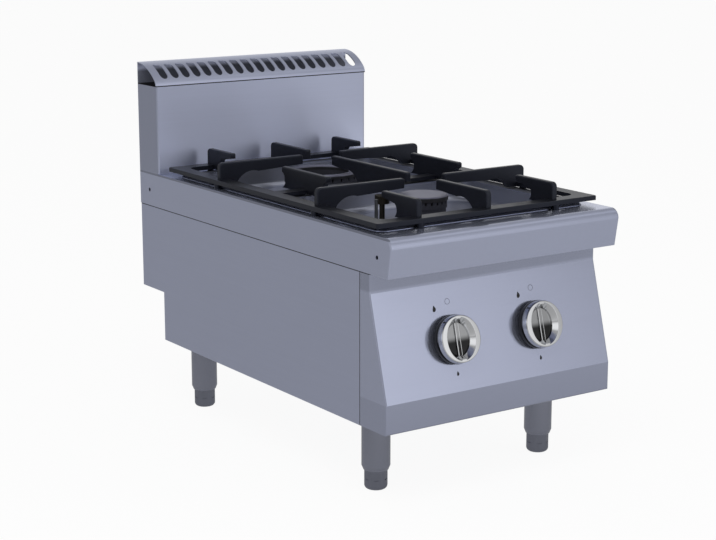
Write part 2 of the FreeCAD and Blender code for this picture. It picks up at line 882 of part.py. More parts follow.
def make_rear_crown():
    """Ring burner's crown: an open groove with ports outward, clear in the middle."""
    middle = V(0, rear_burner_y, crown_seat_z)
    body = ring(middle, up, rear_crown_r, rear_crown_bore_r, crown_height)
    groove_z = crown_seat_z + crown_height - port_depth - sheet
    groove = ring(
        V(0, rear_burner_y, groove_z), up, rear_crown_r - rear_groove_wall,
        rear_crown_bore_r + rear_groove_wall, crown_height)
    plug_r = rear_cup_mouth_r - fit_gap
    plug = ring(middle - up * crown_spigot, up, plug_r, plug_r - cap_spigot_wall, crown_spigot)
    cuts = port_cuts(rear_burner_y, rear_crown_r - rear_groove_wall - sheet, rear_crown_r + sheet)
    return body.cut([groove] + cuts).fuse(plug).removeSplitter()


def make_front_cap():
    """Flat round cap with a locating ring below."""
    top = crown_top_z + front_cap_thickness
    disc = rod(V(0, front_burner_y, crown_top_z), up, front_crown_r + cap_overhang, front_cap_thickness)
    disc = disc.makeFillet(cap_edge_radius, top_edges(disc, top))
    outer = front_crown_bore_r - cap_spigot_gap
    spigot_start = V(0, front_burner_y, crown_top_z - cap_spigot_depth)
    spigot = ring(spigot_start, up, outer, outer - cap_spigot_wall, cap_spigot_depth)
    return disc.fuse(spigot).removeSplitter()


def make_rear_cap():
    """Ring cap that closes the crown's groove and leaves the middle open."""
    top = crown_top_z + rear_cap_thickness
    rim_r = rear_crown_r + cap_overhang
    disc = ring(V(0, rear_burner_y, crown_top_z), up, rim_r, rear_crown_bore_r, rear_cap_thickness)
    disc = disc.makeFillet(cap_edge_radius, top_edges(disc, top))
    outer = rear_crown_r - rear_groove_wall - cap_spigot_gap
    inner = rear_crown_bore_r + rear_groove_wall + cap_spigot_gap
    spigot_start = V(0, rear_burner_y, crown_top_z - cap_spigot_depth)
    spigot = ring(spigot_start, up, outer, inner, cap_spigot_depth)
    return disc.fuse(spigot).removeSplitter()


def pilot_place(burner_y, side, crown_r, z):
    """A point on a pilot's axis: behind its burner's crown, on its tap's side."""
    bearing = math.radians(pilot_bearing_deg)
    reach = crown_r + pilot_gap
    return V(side * reach * math.cos(bearing), burner_y + reach * math.sin(bearing), z)


def make_pilot(burner_y, side, crown_r):
    """Brass pilot burner with a broad hood, held by a gland under the well."""
    bottom = pilot_place(burner_y, side, crown_r, well_floor_z - pilot_tail)
    body = rod(bottom, up, pilot_r, pilot_tail + pilot_rise)
    hood = rod(bottom + up * (pilot_tail + pilot_rise - pilot_hood), up, pilot_hood_r, pilot_hood)
    gland = rod(bottom + up * (pilot_tail - sheet - gland_thickness), up, gland_r, gland_thickness)
    return body.fuse([hood, gland]).removeSplitter()


def make_thermocouple(burner_y, side):
    """Flame probe with its gland, and its lead down to the tap's magnet unit."""
    x = side * probe_x
    y = burner_y + probe_y
    bottom = V(x, y, well_floor_z - probe_tail)
    stem = rod(bottom, up, probe_r, probe_tail + probe_rise)
    gland = rod(V(x, y, well_floor_z - sheet - gland_thickness), up, gland_r / 1.4, gland_thickness)
    end = knob_placement(side).multVec(V(0, 0, -tap_back - magnet_length))
    away = knob_placement(side).multVec(V(0, 0, -tap_back - magnet_length - lead_straight))
    lead = bent_tube([bottom, V(x, y, away.z), away, end], lead_r, 0, lead_bend)
    return stem.fuse([gland, lead]).removeSplitter()


# Gas line


def manifold_axis():
    """A point on the manifold's axis, under the left tap."""
    inlet_depth = tap_front + tap_neck + tap_length / 2
    return knob_placement(-1).multVec(V(0, -manifold_drop, -inlet_depth))


def manifold_ends():
    return -knob_pitch / 2 - manifold_overrun, knob_pitch / 2 + manifold_overrun


def make_manifold():
    """Gas rail across the front with a flat boss under each tap."""
    axis = manifold_axis()
    left, right = manifold_ends()
    length = right - left
    rail = rod(V(left, axis.y, axis.z), V(1, 0, 0), pipe_r, length)
    bore = rod(V(left + pipe_r, axis.y, axis.z), V(1, 0, 0), pipe_bore_r, length - pipe_r)
    inlet_depth = tap_front + tap_neck + tap_length / 2
    boss = rod(V(0, -manifold_drop, -inlet_depth), V(0, 1, 0), boss_r, boss_height)
    return rail.fuse([on_panel(side, boss) for side in (-1, 1)]).cut(bore).removeSplitter()


def inlet_axis():
    """The gas inlet pipe runs to the rear at the manifold's height."""
    return V(half_width - inlet_side_inset, 0, manifold_axis().z)


def make_inlet_pipe():
    """Pipe from the manifold's right end to the threaded inlet in the rear notch."""
    axis = manifold_axis()
    x = inlet_axis().x
    start = V(manifold_ends()[1], axis.y, axis.z)
    end = V(x, notch_y + inlet_reach, axis.z)
    pipe = bent_tube([start, V(x, axis.y, axis.z), end], pipe_r, pipe_bore_r, pipe_bend)
    thread = ring(end, V(0, -1, 0), inlet_thread_r, pipe_bore_r, inlet_thread_length)
    return pipe.fuse(thread).removeSplitter()


def make_inlet_locknut():
    """Hexagon nut that holds the inlet pipe to the back panel's lower wall."""
    inlet = inlet_axis()
    corner_r = locknut_flats / math.sqrt(3)
    corners = [arc_middle((inlet.x, inlet.z), corner_r, 30 + 60 * index) for index in range(6)]
    nut = outline(plane_xz, corners[0], *[(corner,) for corner in corners[1:]])
    nut.translate(V(0, notch_y, 0))
    nut = nut.extrude(V(0, locknut_thickness, 0))
    return nut.cut(rod(V(inlet.x, notch_y, inlet.z), V(0, 1, 0), pipe_r + pipe_fit, locknut_thickness))


def make_manifold_clips():
    """Two upright clips on the base pan that hold the manifold."""
    axis = manifold_axis()
    floor = base_z + sheet
    clips = []
    for end, inward in zip(manifold_ends(), (1, -1)):
        x = end + inward * clip_inset
        half = clip_thickness / 2
        front = axis.y - clip_half_width
        rear = axis.y + clip_half_width
        plate = box(x - half, x + half, front, rear, floor, axis.z + clip_rise)
        foot_x = sorted((x, x + inward * clip_foot))
        foot = box(foot_x[0], foot_x[1], front, rear, floor, floor + clip_thickness)
        hole = rod(V(x - clip_thickness, axis.y, axis.z), V(1, 0, 0), pipe_r + pipe_fit, 2 * clip_thickness)
        clips.append(plate.fuse(foot).cut(hole).removeSplitter())
    return Part.makeCompound(clips)


def make_tap(side):
    """Gas tap on its manifold boss: neck, body, magnet unit, outlet above and pilot port to the middle."""
    back = V(0, 0, -1)
    body_front = -tap_front - tap_neck
    neck = rod(V(0, 0, -tap_front), back, tap_neck_r, tap_neck)
    body = rod(V(0, 0, body_front), back, tap_r, tap_length)
    magnet = rod(V(0, 0, -tap_back), back, magnet_r, magnet_length)
    outlet = rod(V(0, 0, body_front - outlet_depth), V(0, 1, 0), outlet_r, outlet_length)
    port_start = V(0, 0, body_front - pilot_port_depth)
    pilot_port = rod(port_start, V(-side, 0, 0), pilot_port_r, pilot_port_length)
    inlet_depth = tap_front + tap_neck + tap_length / 2
    inlet = rod(V(0, 0, -inlet_depth), V(0, -1, 0), tap_inlet_r, manifold_drop - boss_height)
    guide = rod(V(0, 0, -tap_front), back, spindle_r + spindle_gap, tap_neck + 2 * sheet)
    chamber_length = tap_length - 2 * sheet - tap_end_wall
    chamber = rod(V(0, 0, body_front - 2 * sheet), back, collar_r + spindle_gap, chamber_length)
    tap = neck.fuse([body, magnet, outlet, pilot_port, inlet]).cut([guide, chamber]).removeSplitter()
    return on_panel(side, tap)


def make_spindle(side):
    """Tap spindle with a collar inside the tap and a flat for the knob."""
    bar = rod(V(0, 0, -spindle_end), up, spindle_r, spindle_end + knob_seam)
    collar_z = -tap_front - tap_neck - 2 * sheet - push_travel - collar_length
    collar = rod(V(0, 0, collar_z), up, collar_r, collar_length)
    flat = box(-spindle_r, spindle_r, spindle_r - spindle_flat, spindle_r, knob_back, knob_seam)
    return on_panel(side, bar.fuse(collar).cut(flat).removeSplitter())


def make_plunger(side):
    """Push rod behind the spindle: moves in with it and doesn't turn."""
    return on_panel(side, rod(V(0, 0, -spindle_end), V(0, 0, -1), collar_r, plunger_length))


def make_bezel(side):
    """Flat black washer on the panel behind the knob, round the tap's hole."""
    return on_panel(side, ring(V(0, 0, 0), up, bezel_r, bezel_hole_r, bezel_thickness))


def make_knob_skirt(side):
    """Black base of the knob: hollow behind, with a D socket through its hub."""
    body = rod(V(0, 0, knob_back), up, skirt_r, skirt_thickness)
    cavity = ring(V(0, 0, knob_back), up, skirt_r - skirt_wall, knob_hub_r, skirt_cavity)
    socket = rod(V(0, 0, knob_back), up, spindle_r + spindle_gap, skirt_thickness)
    flat_y = spindle_r - spindle_flat + spindle_gap
    flat = box(-knob_hub_r, knob_hub_r, flat_y, knob_hub_r, knob_back, knob_seam)
    return on_panel(side, body.cut([cavity, socket.cut(flat)]))


def make_knob(side):
    """Chromed cap of the knob: a long dish in its front, with a low pointer bar along the floor."""
    body = turned([(0, knob_seam), (knob_r, knob_seam), (knob_front_r, knob_front), (0, knob_front)])
    body = body.makeFillet(knob_edge_radius, top_edges(body, knob_front))
    floor = knob_seam + knob_floor
    valley = outline(
        plane_xz,
        (-knob_valley_floor_half, floor),
        ((knob_valley_floor_half, floor),),
        ((knob_valley_half, knob_front),),
        ((-knob_valley_half, knob_front),),
    )
    valley.translate(V(0, -knob_r, 0))
    floor_reach = knob_valley_reach * knob_valley_floor_half / knob_valley_half
    ends = turned([(0, floor), (floor_reach, floor), (knob_valley_reach, knob_front), (0, knob_front)])
    valley = valley.extrude(V(0, 2 * knob_r, 0)).common(ends)
    bar = box(-knob_bar_half, knob_bar_half, -knob_r, knob_r, floor, floor + knob_bar_height)
    return on_panel(side, body.cut(valley.cut(bar)))


def make_supply_tubes():
    """Tubes from the taps' outlets to the injectors: left tap to front burner, right tap to rear."""
    depth = -tap_front - tap_neck - outlet_depth
    lane_z = mixing_z - supply_lane_drop
    tubes = {}
    for side, name, burner_y in ((-1, "front", front_burner_y), (1, "rear", rear_burner_y)):
        start = knob_placement(side).multVec(V(0, outlet_length, depth))
        rise = knob_placement(side).multVec(V(0, outlet_length + supply_rise, depth))
        end = injector_inlet_end(burner_y)
        points = [start, rise]
        if name == "rear":
            points.append(V(rise.x, end.y, lane_z))
        points += [V(end.x, end.y, lane_z), end]
        tubes[name + "_supply_tube"] = bent_tube(points, supply_r, supply_bore_r, supply_bend)
    return tubes


def make_pilot_tube(burner_y, side, crown_r):
    """Thin tube from a tap's pilot port to its pilot burner."""
    depth = -tap_front - tap_neck - pilot_port_depth
    start = knob_placement(side).multVec(V(-side * pilot_port_length, 0, depth))
    lane = V(side * pilot_lane_x, start.y, start.z)
    climb = V(lane.x, lane.y + pilot_lane_lead, lane.z + pilot_lane_rise)
    end = pilot_place(burner_y, side, crown_r, well_floor_z - pilot_tail)
    points = [start, lane, climb, V(end.x, end.y, climb.z), end]
    return bent_tube(points, pilot_tube_r, pilot_tube_bore_r, pilot_tube_bend)


# Pot grate


def rib_solid(face, turn_deg, place):
    """A rib from its side outline, with soft upper edges, turned and set on the frame."""
    face.translate(V(0, -rib_width / 2, 0))
    rib = face.extrude(V(0, rib_width, 0))
    crest = rib_top_z - rib_shoulder_radius - 1e-6
    soft = [edge for edge in rib.Edges if edge.BoundBox.YLength < 1e-6 and edge.BoundBox.ZMin > crest]
    rib = rib.makeFillet(rib_edge_radius, soft)
    rib.rotate(V(0, 0, 0), up, turn_deg)
    rib.translate(place)
    return rib


def shoulder_legs(length, tip_depth):
    """The upper outline of a rib, from its outer end over the shoulder to the tip."""
    shoulder = (rib_shoulder_radius, rib_top_z - rib_shoulder_radius)
    tip = (length - rib_tip_radius, rib_top_z - rib_tip_radius)
    return [
        ((0, shoulder[1]),),
        (arc_middle(shoulder, rib_shoulder_radius, 135), (shoulder[0], rib_top_z)),
        ((tip[0], rib_top_z),),
        (arc_middle(tip, rib_tip_radius, 45), (length, tip[1])),
        ((length, rib_top_z - tip_depth),),
    ]


def finger_outline(length):
    """Long finger: a block on the rail, then an arched underside to the tip."""
    under = rib_top_z - finger_depth
    return outline(
        plane_xz,
        (0, rail_bottom_z),
        *shoulder_legs(length, finger_tip_depth),
        ((finger_block + finger_arch, under),),
        ((finger_block + finger_arch / 4, under - finger_arch_shoulder / 2), (finger_block, rail_bottom_z)),
    )


def corner_outline(length):
    """Short rib: a long block with a hollowed end under a pointed beak."""
    block = length - corner_overhang
    under = rib_top_z - corner_neck_depth
    return outline(
        plane_xz,
        (0, rail_bottom_z),
        *shoulder_legs(length, corner_beak_depth),
        ((block, under),),
        ((block - corner_neck, (under + rail_bottom_z) / 2), (block, rail_bottom_z)),
    )


def crest_legs(back, ahead):
    """The upper outline of a rib with two tips, from one tip's edge to the other's."""
    edge_z = rib_top_z - rib_tip_radius
    near = (rib_tip_radius - back, edge_z)
    far = (ahead - rib_tip_radius, edge_z)
    return [
        (arc_middle(near, rib_tip_radius, 135), (near[0], rib_top_z)),
        ((far[0], rib_top_z),),
        (arc_middle(far, rib_tip_radius, 45), (ahead, edge_z)),
    ]


def middle_side_outline():
    """Rib across the middle rail with hollowed ends."""
    far = middle_rib_half
    edge_z = rib_top_z - rib_tip_radius
    beak_z = rib_top_z - corner_beak_depth
    neck_z = (rail_bottom_z + beak_z) / 2
    return outline(
        plane_xz,
        (-far, rail_bottom_z),
        ((middle_rib_neck - far, neck_z), (-far, beak_z)),
        ((-far, edge_z),),
        *crest_legs(far, far),
        ((far, beak_z),),
        ((far - middle_rib_neck, neck_z), (far, rail_bottom_z)),
    )


def middle_centre_outline(back, ahead):
    """Double finger over the middle rail, from one burner to the other."""
    under = rib_top_z - finger_depth
    edge_z = rib_top_z - rib_tip_radius
    tip_z = rib_top_z - finger_tip_depth
    low_z = under - finger_arch_shoulder / 2
    block = middle_block_half
    return outline(
        plane_xz,
        (-block, rail_bottom_z),
        ((-block - finger_arch / 4, low_z), (-block - finger_arch, under)),
        ((-back, tip_z),),
        ((-back, edge_z),),
        *crest_legs(back, ahead),
        ((ahead, tip_z),),
        ((block + finger_arch, under),),
        ((block + finger_arch / 4, low_z), (block, rail_bottom_z)),
    )


def make_grate():
    """One casting: frame and middle rail, fingers round both burners, short side ribs."""
    frame = rounded_block(
        grate_half, grate_front_y, grate_rear_y, rail_bottom_z, rail_top_z, rail_corner_radius)
    frame = frame.makeFillet(rail_edge_radius, top_edges(frame, rail_top_z))
    inner_half_width = grate_half - rail_width
    opening = rounded_block(
        inner_half_width, grate_front_y + rail_width, grate_rear_y - rail_width,
        rail_bottom_z, rail_top_z, rail_inner_radius)
    half_rail = rail_width / 2
    middle_rail = box(
        -inner_half_width - half_rail, inner_half_width + half_rail,
        grate_middle_y - half_rail, grate_middle_y + half_rail,
        rail_bottom_z, rail_top_z - rail_edge_radius)
    outer_x = grate_half - rib_side_inset
    front_end = grate_front_y + rib_front_inset
    rear_end = grate_rear_y - rib_rear_inset
    ribs = []
    for burner_y in (front_burner_y, rear_burner_y):
        finger = outer_x - burner_clear_r
        ribs.append(rib_solid(finger_outline(finger), 0, V(-outer_x, burner_y, 0)))
        ribs.append(rib_solid(finger_outline(finger), 180, V(outer_x, burner_y, 0)))
    front_finger = front_burner_y - burner_clear_r - front_end
    rear_finger = rear_end - rear_burner_y - burner_clear_r
    ribs.append(rib_solid(finger_outline(front_finger), 90, V(0, front_end, 0)))
    ribs.append(rib_solid(finger_outline(rear_finger), -90, V(0, rear_end, 0)))
    back = grate_middle_y - front_burner_y - burner_clear_r
    ahead = rear_burner_y - burner_clear_r - grate_middle_y
    ribs.append(rib_solid(middle_centre_outline(back, ahead), 90, V(0, grate_middle_y, 0)))
    for x in (-corner_rib_x, corner_rib_x):
        ribs.append(rib_solid(corner_outline(front_corner_rib), 90, V(x, front_end, 0)))
        ribs.append(rib_solid(corner_outline(rear_corner_rib), -90, V(x, rear_end, 0)))
        ribs.append(rib_solid(middle_side_outline(), 90, V(x, grate_middle_y + middle_rib_shift, 0)))
    return frame.cut(opening).fuse([middle_rail] + ribs).removeSplitter()


def make_grate_feet():
    """Round feet under the frame's outer edge, eight alike, on the hob's rim outside the raised field."""
    rib_ends = (grate_front_y + grate_foot_r, grate_rear_y - grate_foot_r)
    side_x = grate_half - grate_foot_r
    places = [(x, y) for x in (-corner_rib_x, corner_rib_x) for y in rib_ends]
    places += [(x, y) for x in (-side_x, side_x) for y in (front_burner_y, rear_burner_y)]
    feet = [rod(V(x, y, hob_top_z), up, grate_foot_r, grate_foot_height) for x, y in places]
    return Part.makeCompound(feet)


# All pieces by name

parts["hob_top"] = make_hob_top()
parts["left_side_panel"] = make_side_panel()
parts["right_side_panel"] = mirrored(parts["left_side_panel"])
parts["back_panel"] = make_back_panel()
parts["base_pan"] = make_base_pan()
parts["control_panel"] = make_control_panel()
parts["flue_riser"] = make_flue_riser()
parts["flue_back"] = make_flue_back()
parts["flue_grille"] = make_flue_grille()
ahead_way = V(0, -1, 0)
parts["back_panel_screws"] = Part.makeCompound([screw(p, ahead_way) for p in back_screw_points(rear_y)])
parts["flue_screws"] = Part.makeCompound([screw(p, ahead_way) for p in flue_screw_points(rear_y)])

leg_screw_heads = []
for leg_name in leg_places():
    parts[leg_name + "_leg"] = make_leg(leg_name)
    parts[leg_name + "_foot"] = make_foot(leg_name)
    leg_screw_heads += [screw(p - up * leg_flange_thickness, up) for p in leg_screw_points(leg_name)]
parts["leg_screws"] = Part.makeCompound(leg_screw_heads)

front_span, rear_span = well_spans()
burners = (
    ("front", -1, front_burner_y, front_span, cup_bore_r, front_crown_r),
    ("rear", 1, rear_burner_y, rear_span, rear_cup_mouth_r, rear_crown_r),
)
for burner, tap_side, place_y, span, mouth_bore_r, crown_r in burners:
    parts[burner + "_burner_well"] = make_well(span, place_y, tap_side, crown_r)
    parts[burner + "_burner_bracket"] = make_bracket(place_y)
    parts[burner + "_burner_body"] = make_burner_body(place_y, mouth_bore_r, crown_r - cap_overhang)
    parts[burner + "_injector"] = make_injector(place_y)
    parts[burner + "_pilot"] = make_pilot(place_y, tap_side, crown_r)
    parts[burner + "_thermocouple"] = make_thermocouple(place_y, tap_side)
    parts[burner + "_pilot_tube"] = make_pilot_tube(place_y, tap_side, crown_r)
parts["front_burner_crown"] = make_front_crown()
parts["rear_burner_crown"] = make_rear_crown()
parts["front_burner_cap"] = make_front_cap()
parts["rear_burner_cap"] = make_rear_cap()

parts["gas_manifold"] = make_manifold()
parts["gas_inlet_pipe"] = make_inlet_pipe()
parts["gas_inlet_locknut"] = make_inlet_locknut()
parts["manifold_clips"] = make_manifold_clips()
for tap, tap_side in (("left", -1), ("right", 1)):
    parts[tap + "_gas_tap"] = make_tap(tap_side)
    parts[tap + "_tap_spindle"] = make_spindle(tap_side)
    parts[tap + "_tap_plunger"] = make_plunger(tap_side)
    parts[tap + "_knob_bezel"] = make_bezel(tap_side)
    parts[tap + "_knob_skirt"] = make_knob_skirt(tap_side)
    parts[tap + "_knob"] = make_knob(tap_side)
parts.update(make_supply_tubes())
parts["pot_grate"] = make_grate()
parts["grate_feet"] = make_grate_feet()

os.makedirs("parts", exist_ok=True)
for node, shape in parts.items():
    shape.exportStep(os.path.join("parts", node + ".step"))
    print(node, len(shape.Solids), "solids", round(shape.Volume, 1), "mm3", shape.isValid())
print("knob axis at y %.3f z %.3f, nose y %.3f, rear y %.3f" % (knob_y, knob_z, nose_y, rear_y))
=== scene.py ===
"""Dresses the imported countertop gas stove: its metals, printed marks, knob caps, screws and studio."""

import json
import math

import bmesh
import bpy
from bpy.props import FloatProperty, FloatVectorProperty, IntProperty, PointerProperty
from mathutils import Euler, Matrix, Vector


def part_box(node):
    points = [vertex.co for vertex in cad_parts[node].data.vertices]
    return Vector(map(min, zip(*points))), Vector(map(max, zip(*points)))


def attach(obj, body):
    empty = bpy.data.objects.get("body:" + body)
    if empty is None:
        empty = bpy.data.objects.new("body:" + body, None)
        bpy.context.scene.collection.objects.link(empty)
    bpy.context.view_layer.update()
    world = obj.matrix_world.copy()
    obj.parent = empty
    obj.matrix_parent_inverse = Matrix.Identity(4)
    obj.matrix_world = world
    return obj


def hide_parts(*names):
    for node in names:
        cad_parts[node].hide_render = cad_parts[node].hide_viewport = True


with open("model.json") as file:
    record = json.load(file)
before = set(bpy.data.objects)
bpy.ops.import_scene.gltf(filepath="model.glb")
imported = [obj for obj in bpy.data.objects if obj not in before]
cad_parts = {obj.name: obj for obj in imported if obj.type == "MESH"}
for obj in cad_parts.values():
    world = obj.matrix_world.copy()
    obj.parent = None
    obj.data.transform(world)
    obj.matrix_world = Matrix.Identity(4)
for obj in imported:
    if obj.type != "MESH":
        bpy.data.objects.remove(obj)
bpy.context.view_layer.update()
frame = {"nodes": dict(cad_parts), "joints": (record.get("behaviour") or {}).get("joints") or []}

bl_info = {
    "name": "Countertop gas stove",
    "version": (1, 0, 0),
    "blender": (4, 5, 0),
    "location": "View3D > Sidebar > Stove",
    "description": "Dresses a packed countertop gas stove and sets up its studio",
    "category": "Object",
}

CASING = "casing"
SIDES = ("left", "right")
BURNERS = ("front", "rear")
CORNERS = ("front_left", "front_right", "rear_left", "rear_right")
SEAM = 0.0016
# Near-black for dark joints and the cap's rim, and for painted shade inside the flue and on the hob under
# the grate.
NEAR_BLACK = (0.012, 0.012, 0.016)
NEAR_BLACK_ROUGHNESS = 0.4
STEEL_METALLIC = 0.88
POLISHED_ROUGHNESS = 0.24
LINE_SCALE = 900.0
LINE_RUN = 9.0
BAND_SCALE = 160.0
BAND_RUN = 2.5
WAVE_LENGTH = 0.314
ACROSS = (1.0, 0.0, 0.0)
LEVEL = (1.0, 1.0, 0.0)
LENGTH = {"subtype": "DISTANCE", "unit": "LENGTH"}
COLOUR = {"subtype": "COLOR", "min": 0.0, "max": 1.0}


# Node trees


class Field:
    """A value that changes over a surface: wraps a socket and turns Python's operators into Math nodes."""

    def __init__(self, finish, socket):
        self.finish = finish
        self.socket = socket

    def maths(self, operation, first, second):
        return self.finish.add("ShaderNodeMath", {"operation": operation}, {0: first, 1: second})

    def __add__(self, other):
        return self.maths("ADD", self, other)

    __radd__ = __add__

    def __sub__(self, other):
        return self.maths("SUBTRACT", self, other)

    def __rsub__(self, other):
        return self.maths("SUBTRACT", other, self)

    def __mul__(self, other):
        return self.maths("MULTIPLY", self, other)

    __rmul__ = __mul__

    def above(self, edge):
        return self.maths("GREATER_THAN", self, edge)

    def below(self, edge):
        return self.maths("LESS_THAN", self, edge)

    def larger(self, other):
        return self.maths("MAXIMUM", self, other)

    def ease(self, low, high):
        """Nothing up to the low value, one from the high value on, and smooth between them."""
        settings = {"interpolation_type": "SMOOTHSTEP"}
        return self.finish.add("ShaderNodeMapRange", settings, {0: self, 1: low, 2: high})


class Finish:
    """A material whose nodes end in one Principled shader."""

    def __init__(self, name, colour, roughness, metallic=0.0, **constants):
        self.material = bpy.data.materials.new(name)
        self.material.use_nodes = True
        self.material.diffuse_color = (*colour, 1.0)
        self.tree = self.material.node_tree
        self.tree.nodes.clear()
        self.shader = self.tree.nodes.new("ShaderNodeBsdfPrincipled")
        output = self.tree.nodes.new("ShaderNodeOutputMaterial")
        self.tree.links.new(self.shader.outputs[0], output.inputs["Surface"])
        self.shader.inputs["Base Color"].default_value = (*colour, 1.0)
        self.shader.inputs["Roughness"].default_value = roughness
        self.shader.inputs["Metallic"].default_value = metallic
        for socket, value in constants.items():
            self.shader.inputs[socket.replace("_", " ").title()].default_value = value

    def add(self, kind, settings=None, inputs=None, output=0):
        """Adds a node: its settings first, then the values or links of its sockets."""
        node = self.tree.nodes.new(kind)
        for name, value in (settings or {}).items():
            setattr(node, name, value)
        for name, value in (inputs or {}).items():
            if isinstance(value, Field):
                self.tree.links.new(value.socket, node.inputs[name])
            else:
                node.inputs[name].default_value = value
        return Field(self, node.outputs[output])

    def place(self, stretch=(1.0, 1.0, 1.0), middle=(0.0, 0.0, 0.0)):
        """Object coordinates about a middle point, stretched along the axes."""
        here = self.add("ShaderNodeTexCoord", output="Object")
        shift = [-along * factor for along, factor in zip(middle, stretch)]
        return self.add("ShaderNodeMapping", None, {"Vector": here, "Location": shift, "Scale": stretch})

    def noise(self, scale, stretch=(1.0, 1.0, 1.0), detail=3.0, roughness=0.5):
        inputs = {
            "Vector": self.place(stretch),
            "Scale": scale,
            "Detail": detail,
            "Roughness": roughness,
        }
        return self.add("ShaderNodeTexNoise", None, inputs)

    def axis(self, index, middle=(0.0, 0.0, 0.0)):
        """One coordinate of a point on the piece, from a middle point."""
        return self.add("ShaderNodeSeparateXYZ", None, {0: self.place(middle=middle)}, index)

    def reach(self, middle, stretch=(1.0, 1.0, 1.0)):
        """Distance from a middle point; a stretch of nothing leaves that axis out."""
        settings = {"operation": "LENGTH"}
        return self.add("ShaderNodeVectorMath", settings, {0: self.place(stretch, middle)}, "Value")

    def along(self, way, middle):
        """Distance from a middle point, measured along a direction."""
        settings = {"operation": "DOT_PRODUCT"}
        return self.add("ShaderNodeVectorMath", settings, {0: self.place(middle=middle), 1: way}, "Value")

    def blend(self, share, first, second):
        """A colour between two, by a share from nothing to one."""
        tones = [value if isinstance(value, Field) else (*value, 1.0) for value in (first, second)]
        settings = {"data_type": "RGBA"}
        return self.add("ShaderNodeMix", settings, {0: share, 6: tones[0], 7: tones[1]}, 2)

    def feed(self, socket, field):
        self.tree.links.new(field.socket, self.shader.inputs[socket])

    def relief(self, height, distance):
        """Raises the surface by a height field, as far as a distance in metres."""
        bump = self.add("ShaderNodeBump", None, {"Height": height, "Distance": distance})
        self.feed("Normal", bump)


class Glow(Finish):
    """A surface that gives off light of its own, for the studio alone."""

    def __init__(self, name):
        super().__init__(name, (0.0, 0.0, 0.0), 1.0)

    def shine(self, tone):
        self.shader.inputs["Emission Strength"].default_value = 1.0
        self.feed("Emission Color", self.blend(tone, (0.0, 0.0, 0.0), (1.0, 1.0, 1.0)))


def scaled(colour, factor):
    return tuple(min(1.0, channel * factor) for channel in colour)


def dress(finish, *nodes):
    """Gives CAD nodes a material."""
    for name in nodes:
        mesh = frame["nodes"][name].data
        mesh.materials.clear()
        mesh.materials.append(finish.material)


# Meshes


def linked(name, mesh, finish, body):
    """A finished piece that rides on a body and takes a material slot."""
    piece = bpy.data.objects.new(name, mesh)
    bpy.context.scene.collection.objects.link(piece)
    mesh.materials.clear()
    mesh.materials.append(finish.material)
    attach(piece, body)
    return piece


def relief_disc(name, radius, front_at, back, rings, spokes):
    """A round piece about the Z axis whose front height is a function of x and y."""
    work = bmesh.new()
    middle = work.verts.new((0.0, 0.0, front_at(0.0, 0.0)))
    circles = []
    for ring in range(1, rings + 1):
        reach = radius * ring / rings
        circle = []
        for spoke in range(spokes):
            angle = math.tau * spoke / spokes
            x = reach * math.cos(angle)
            y = reach * math.sin(angle)
            circle.append(work.verts.new((x, y, front_at(x, y))))
        circles.append(circle)
    foot = [work.verts.new((vert.co.x, vert.co.y, back)) for vert in circles[-1]]
    for spoke in range(spokes):
        after = (spoke + 1) % spokes
        work.faces.new((middle, circles[0][spoke], circles[0][after]))
        for inner, outer in zip(circles, circles[1:]):
            work.faces.new((inner[spoke], outer[spoke], outer[after], inner[after]))
        work.faces.new((circles[-1][spoke], foot[spoke], foot[after], circles[-1][after]))
    work.faces.new(list(reversed(foot)))
    for face in work.faces:
        face.smooth = True
    mesh = bpy.data.meshes.new(name)
    work.to_mesh(mesh)
    work.free()
    return mesh


def step(value, low, high):
    """Smooth step from nothing at the low value to one at the high value."""
    share = min(1.0, max(0.0, (value - low) / (high - low)))
    return share * share * (3.0 - 2.0 * share)


def panel_matrix(side):
    """From a knob's own frame to the stove's: Z leaves the panel, Y runs up the panel."""
    for joint in frame["joints"]:
        if joint["name"] == side + "_knob_turn":
            out = Vector(joint["axis"]).normalized()
            across = Vector(ACROSS)
            turn = Matrix((across, out.cross(across), out)).transposed()
            return Matrix.Translation(joint["pos_m"]) @ turn.to_4x4()
    raise RuntimeError("the frame has no knob joint on the " + side)


# Sizes and colours a user would change


class StoveColours(bpy.types.PropertyGroup):
    """Colours of the stove's metals."""

    steel: FloatVectorProperty(
        name="Sheet steel", description="Brushed casing sheets",
        default=(0.50, 0.535, 0.69), **COLOUR)
    well: FloatVectorProperty(
        name="Wells", description="Bright pressed wells",
        default=(0.42, 0.44, 0.53), **COLOUR)
    # Painted shade: the legs' steel is darker than the casing's, for the shadowed floor they reflect.
    leg: FloatVectorProperty(
        name="Legs", description="Polished leg tubes",
        default=(0.33, 0.345, 0.42), **COLOUR)
    iron: FloatVectorProperty(
        name="Grate", description="Matt black casting",
        default=(0.006, 0.0065, 0.010), **COLOUR)
    casting: FloatVectorProperty(
        name="Burner castings", description="Raw cast iron",
        default=(0.026, 0.026, 0.033), **COLOUR)
    cap: FloatVectorProperty(
        name="Burner caps", description="Satin light grey",
        default=(0.175, 0.177, 0.245), **COLOUR)
    brass: FloatVectorProperty(
        name="Brass", description="Taps and injectors",
        default=(0.72, 0.50, 0.23), **COLOUR)
    pilot: FloatVectorProperty(
        name="Pilots", description="Brass that heat has browned",
        default=(0.07, 0.062, 0.05), **COLOUR)
    copper: FloatVectorProperty(
        name="Copper", description="Gas tubes and leads",
        default=(0.74, 0.41, 0.27), **COLOUR)
    zinc: FloatVectorProperty(
        name="Zinc", description="Plated brackets, pipe and screws",
        default=(0.55, 0.56, 0.57), **COLOUR)
    chrome: FloatVectorProperty(
        name="Chrome", description="Knob caps",
        default=(0.78, 0.79, 0.81), **COLOUR)
    black: FloatVectorProperty(
        name="Black plastic", description="Knob bases and printed marks",
        default=(0.012, 0.012, 0.014), **COLOUR)


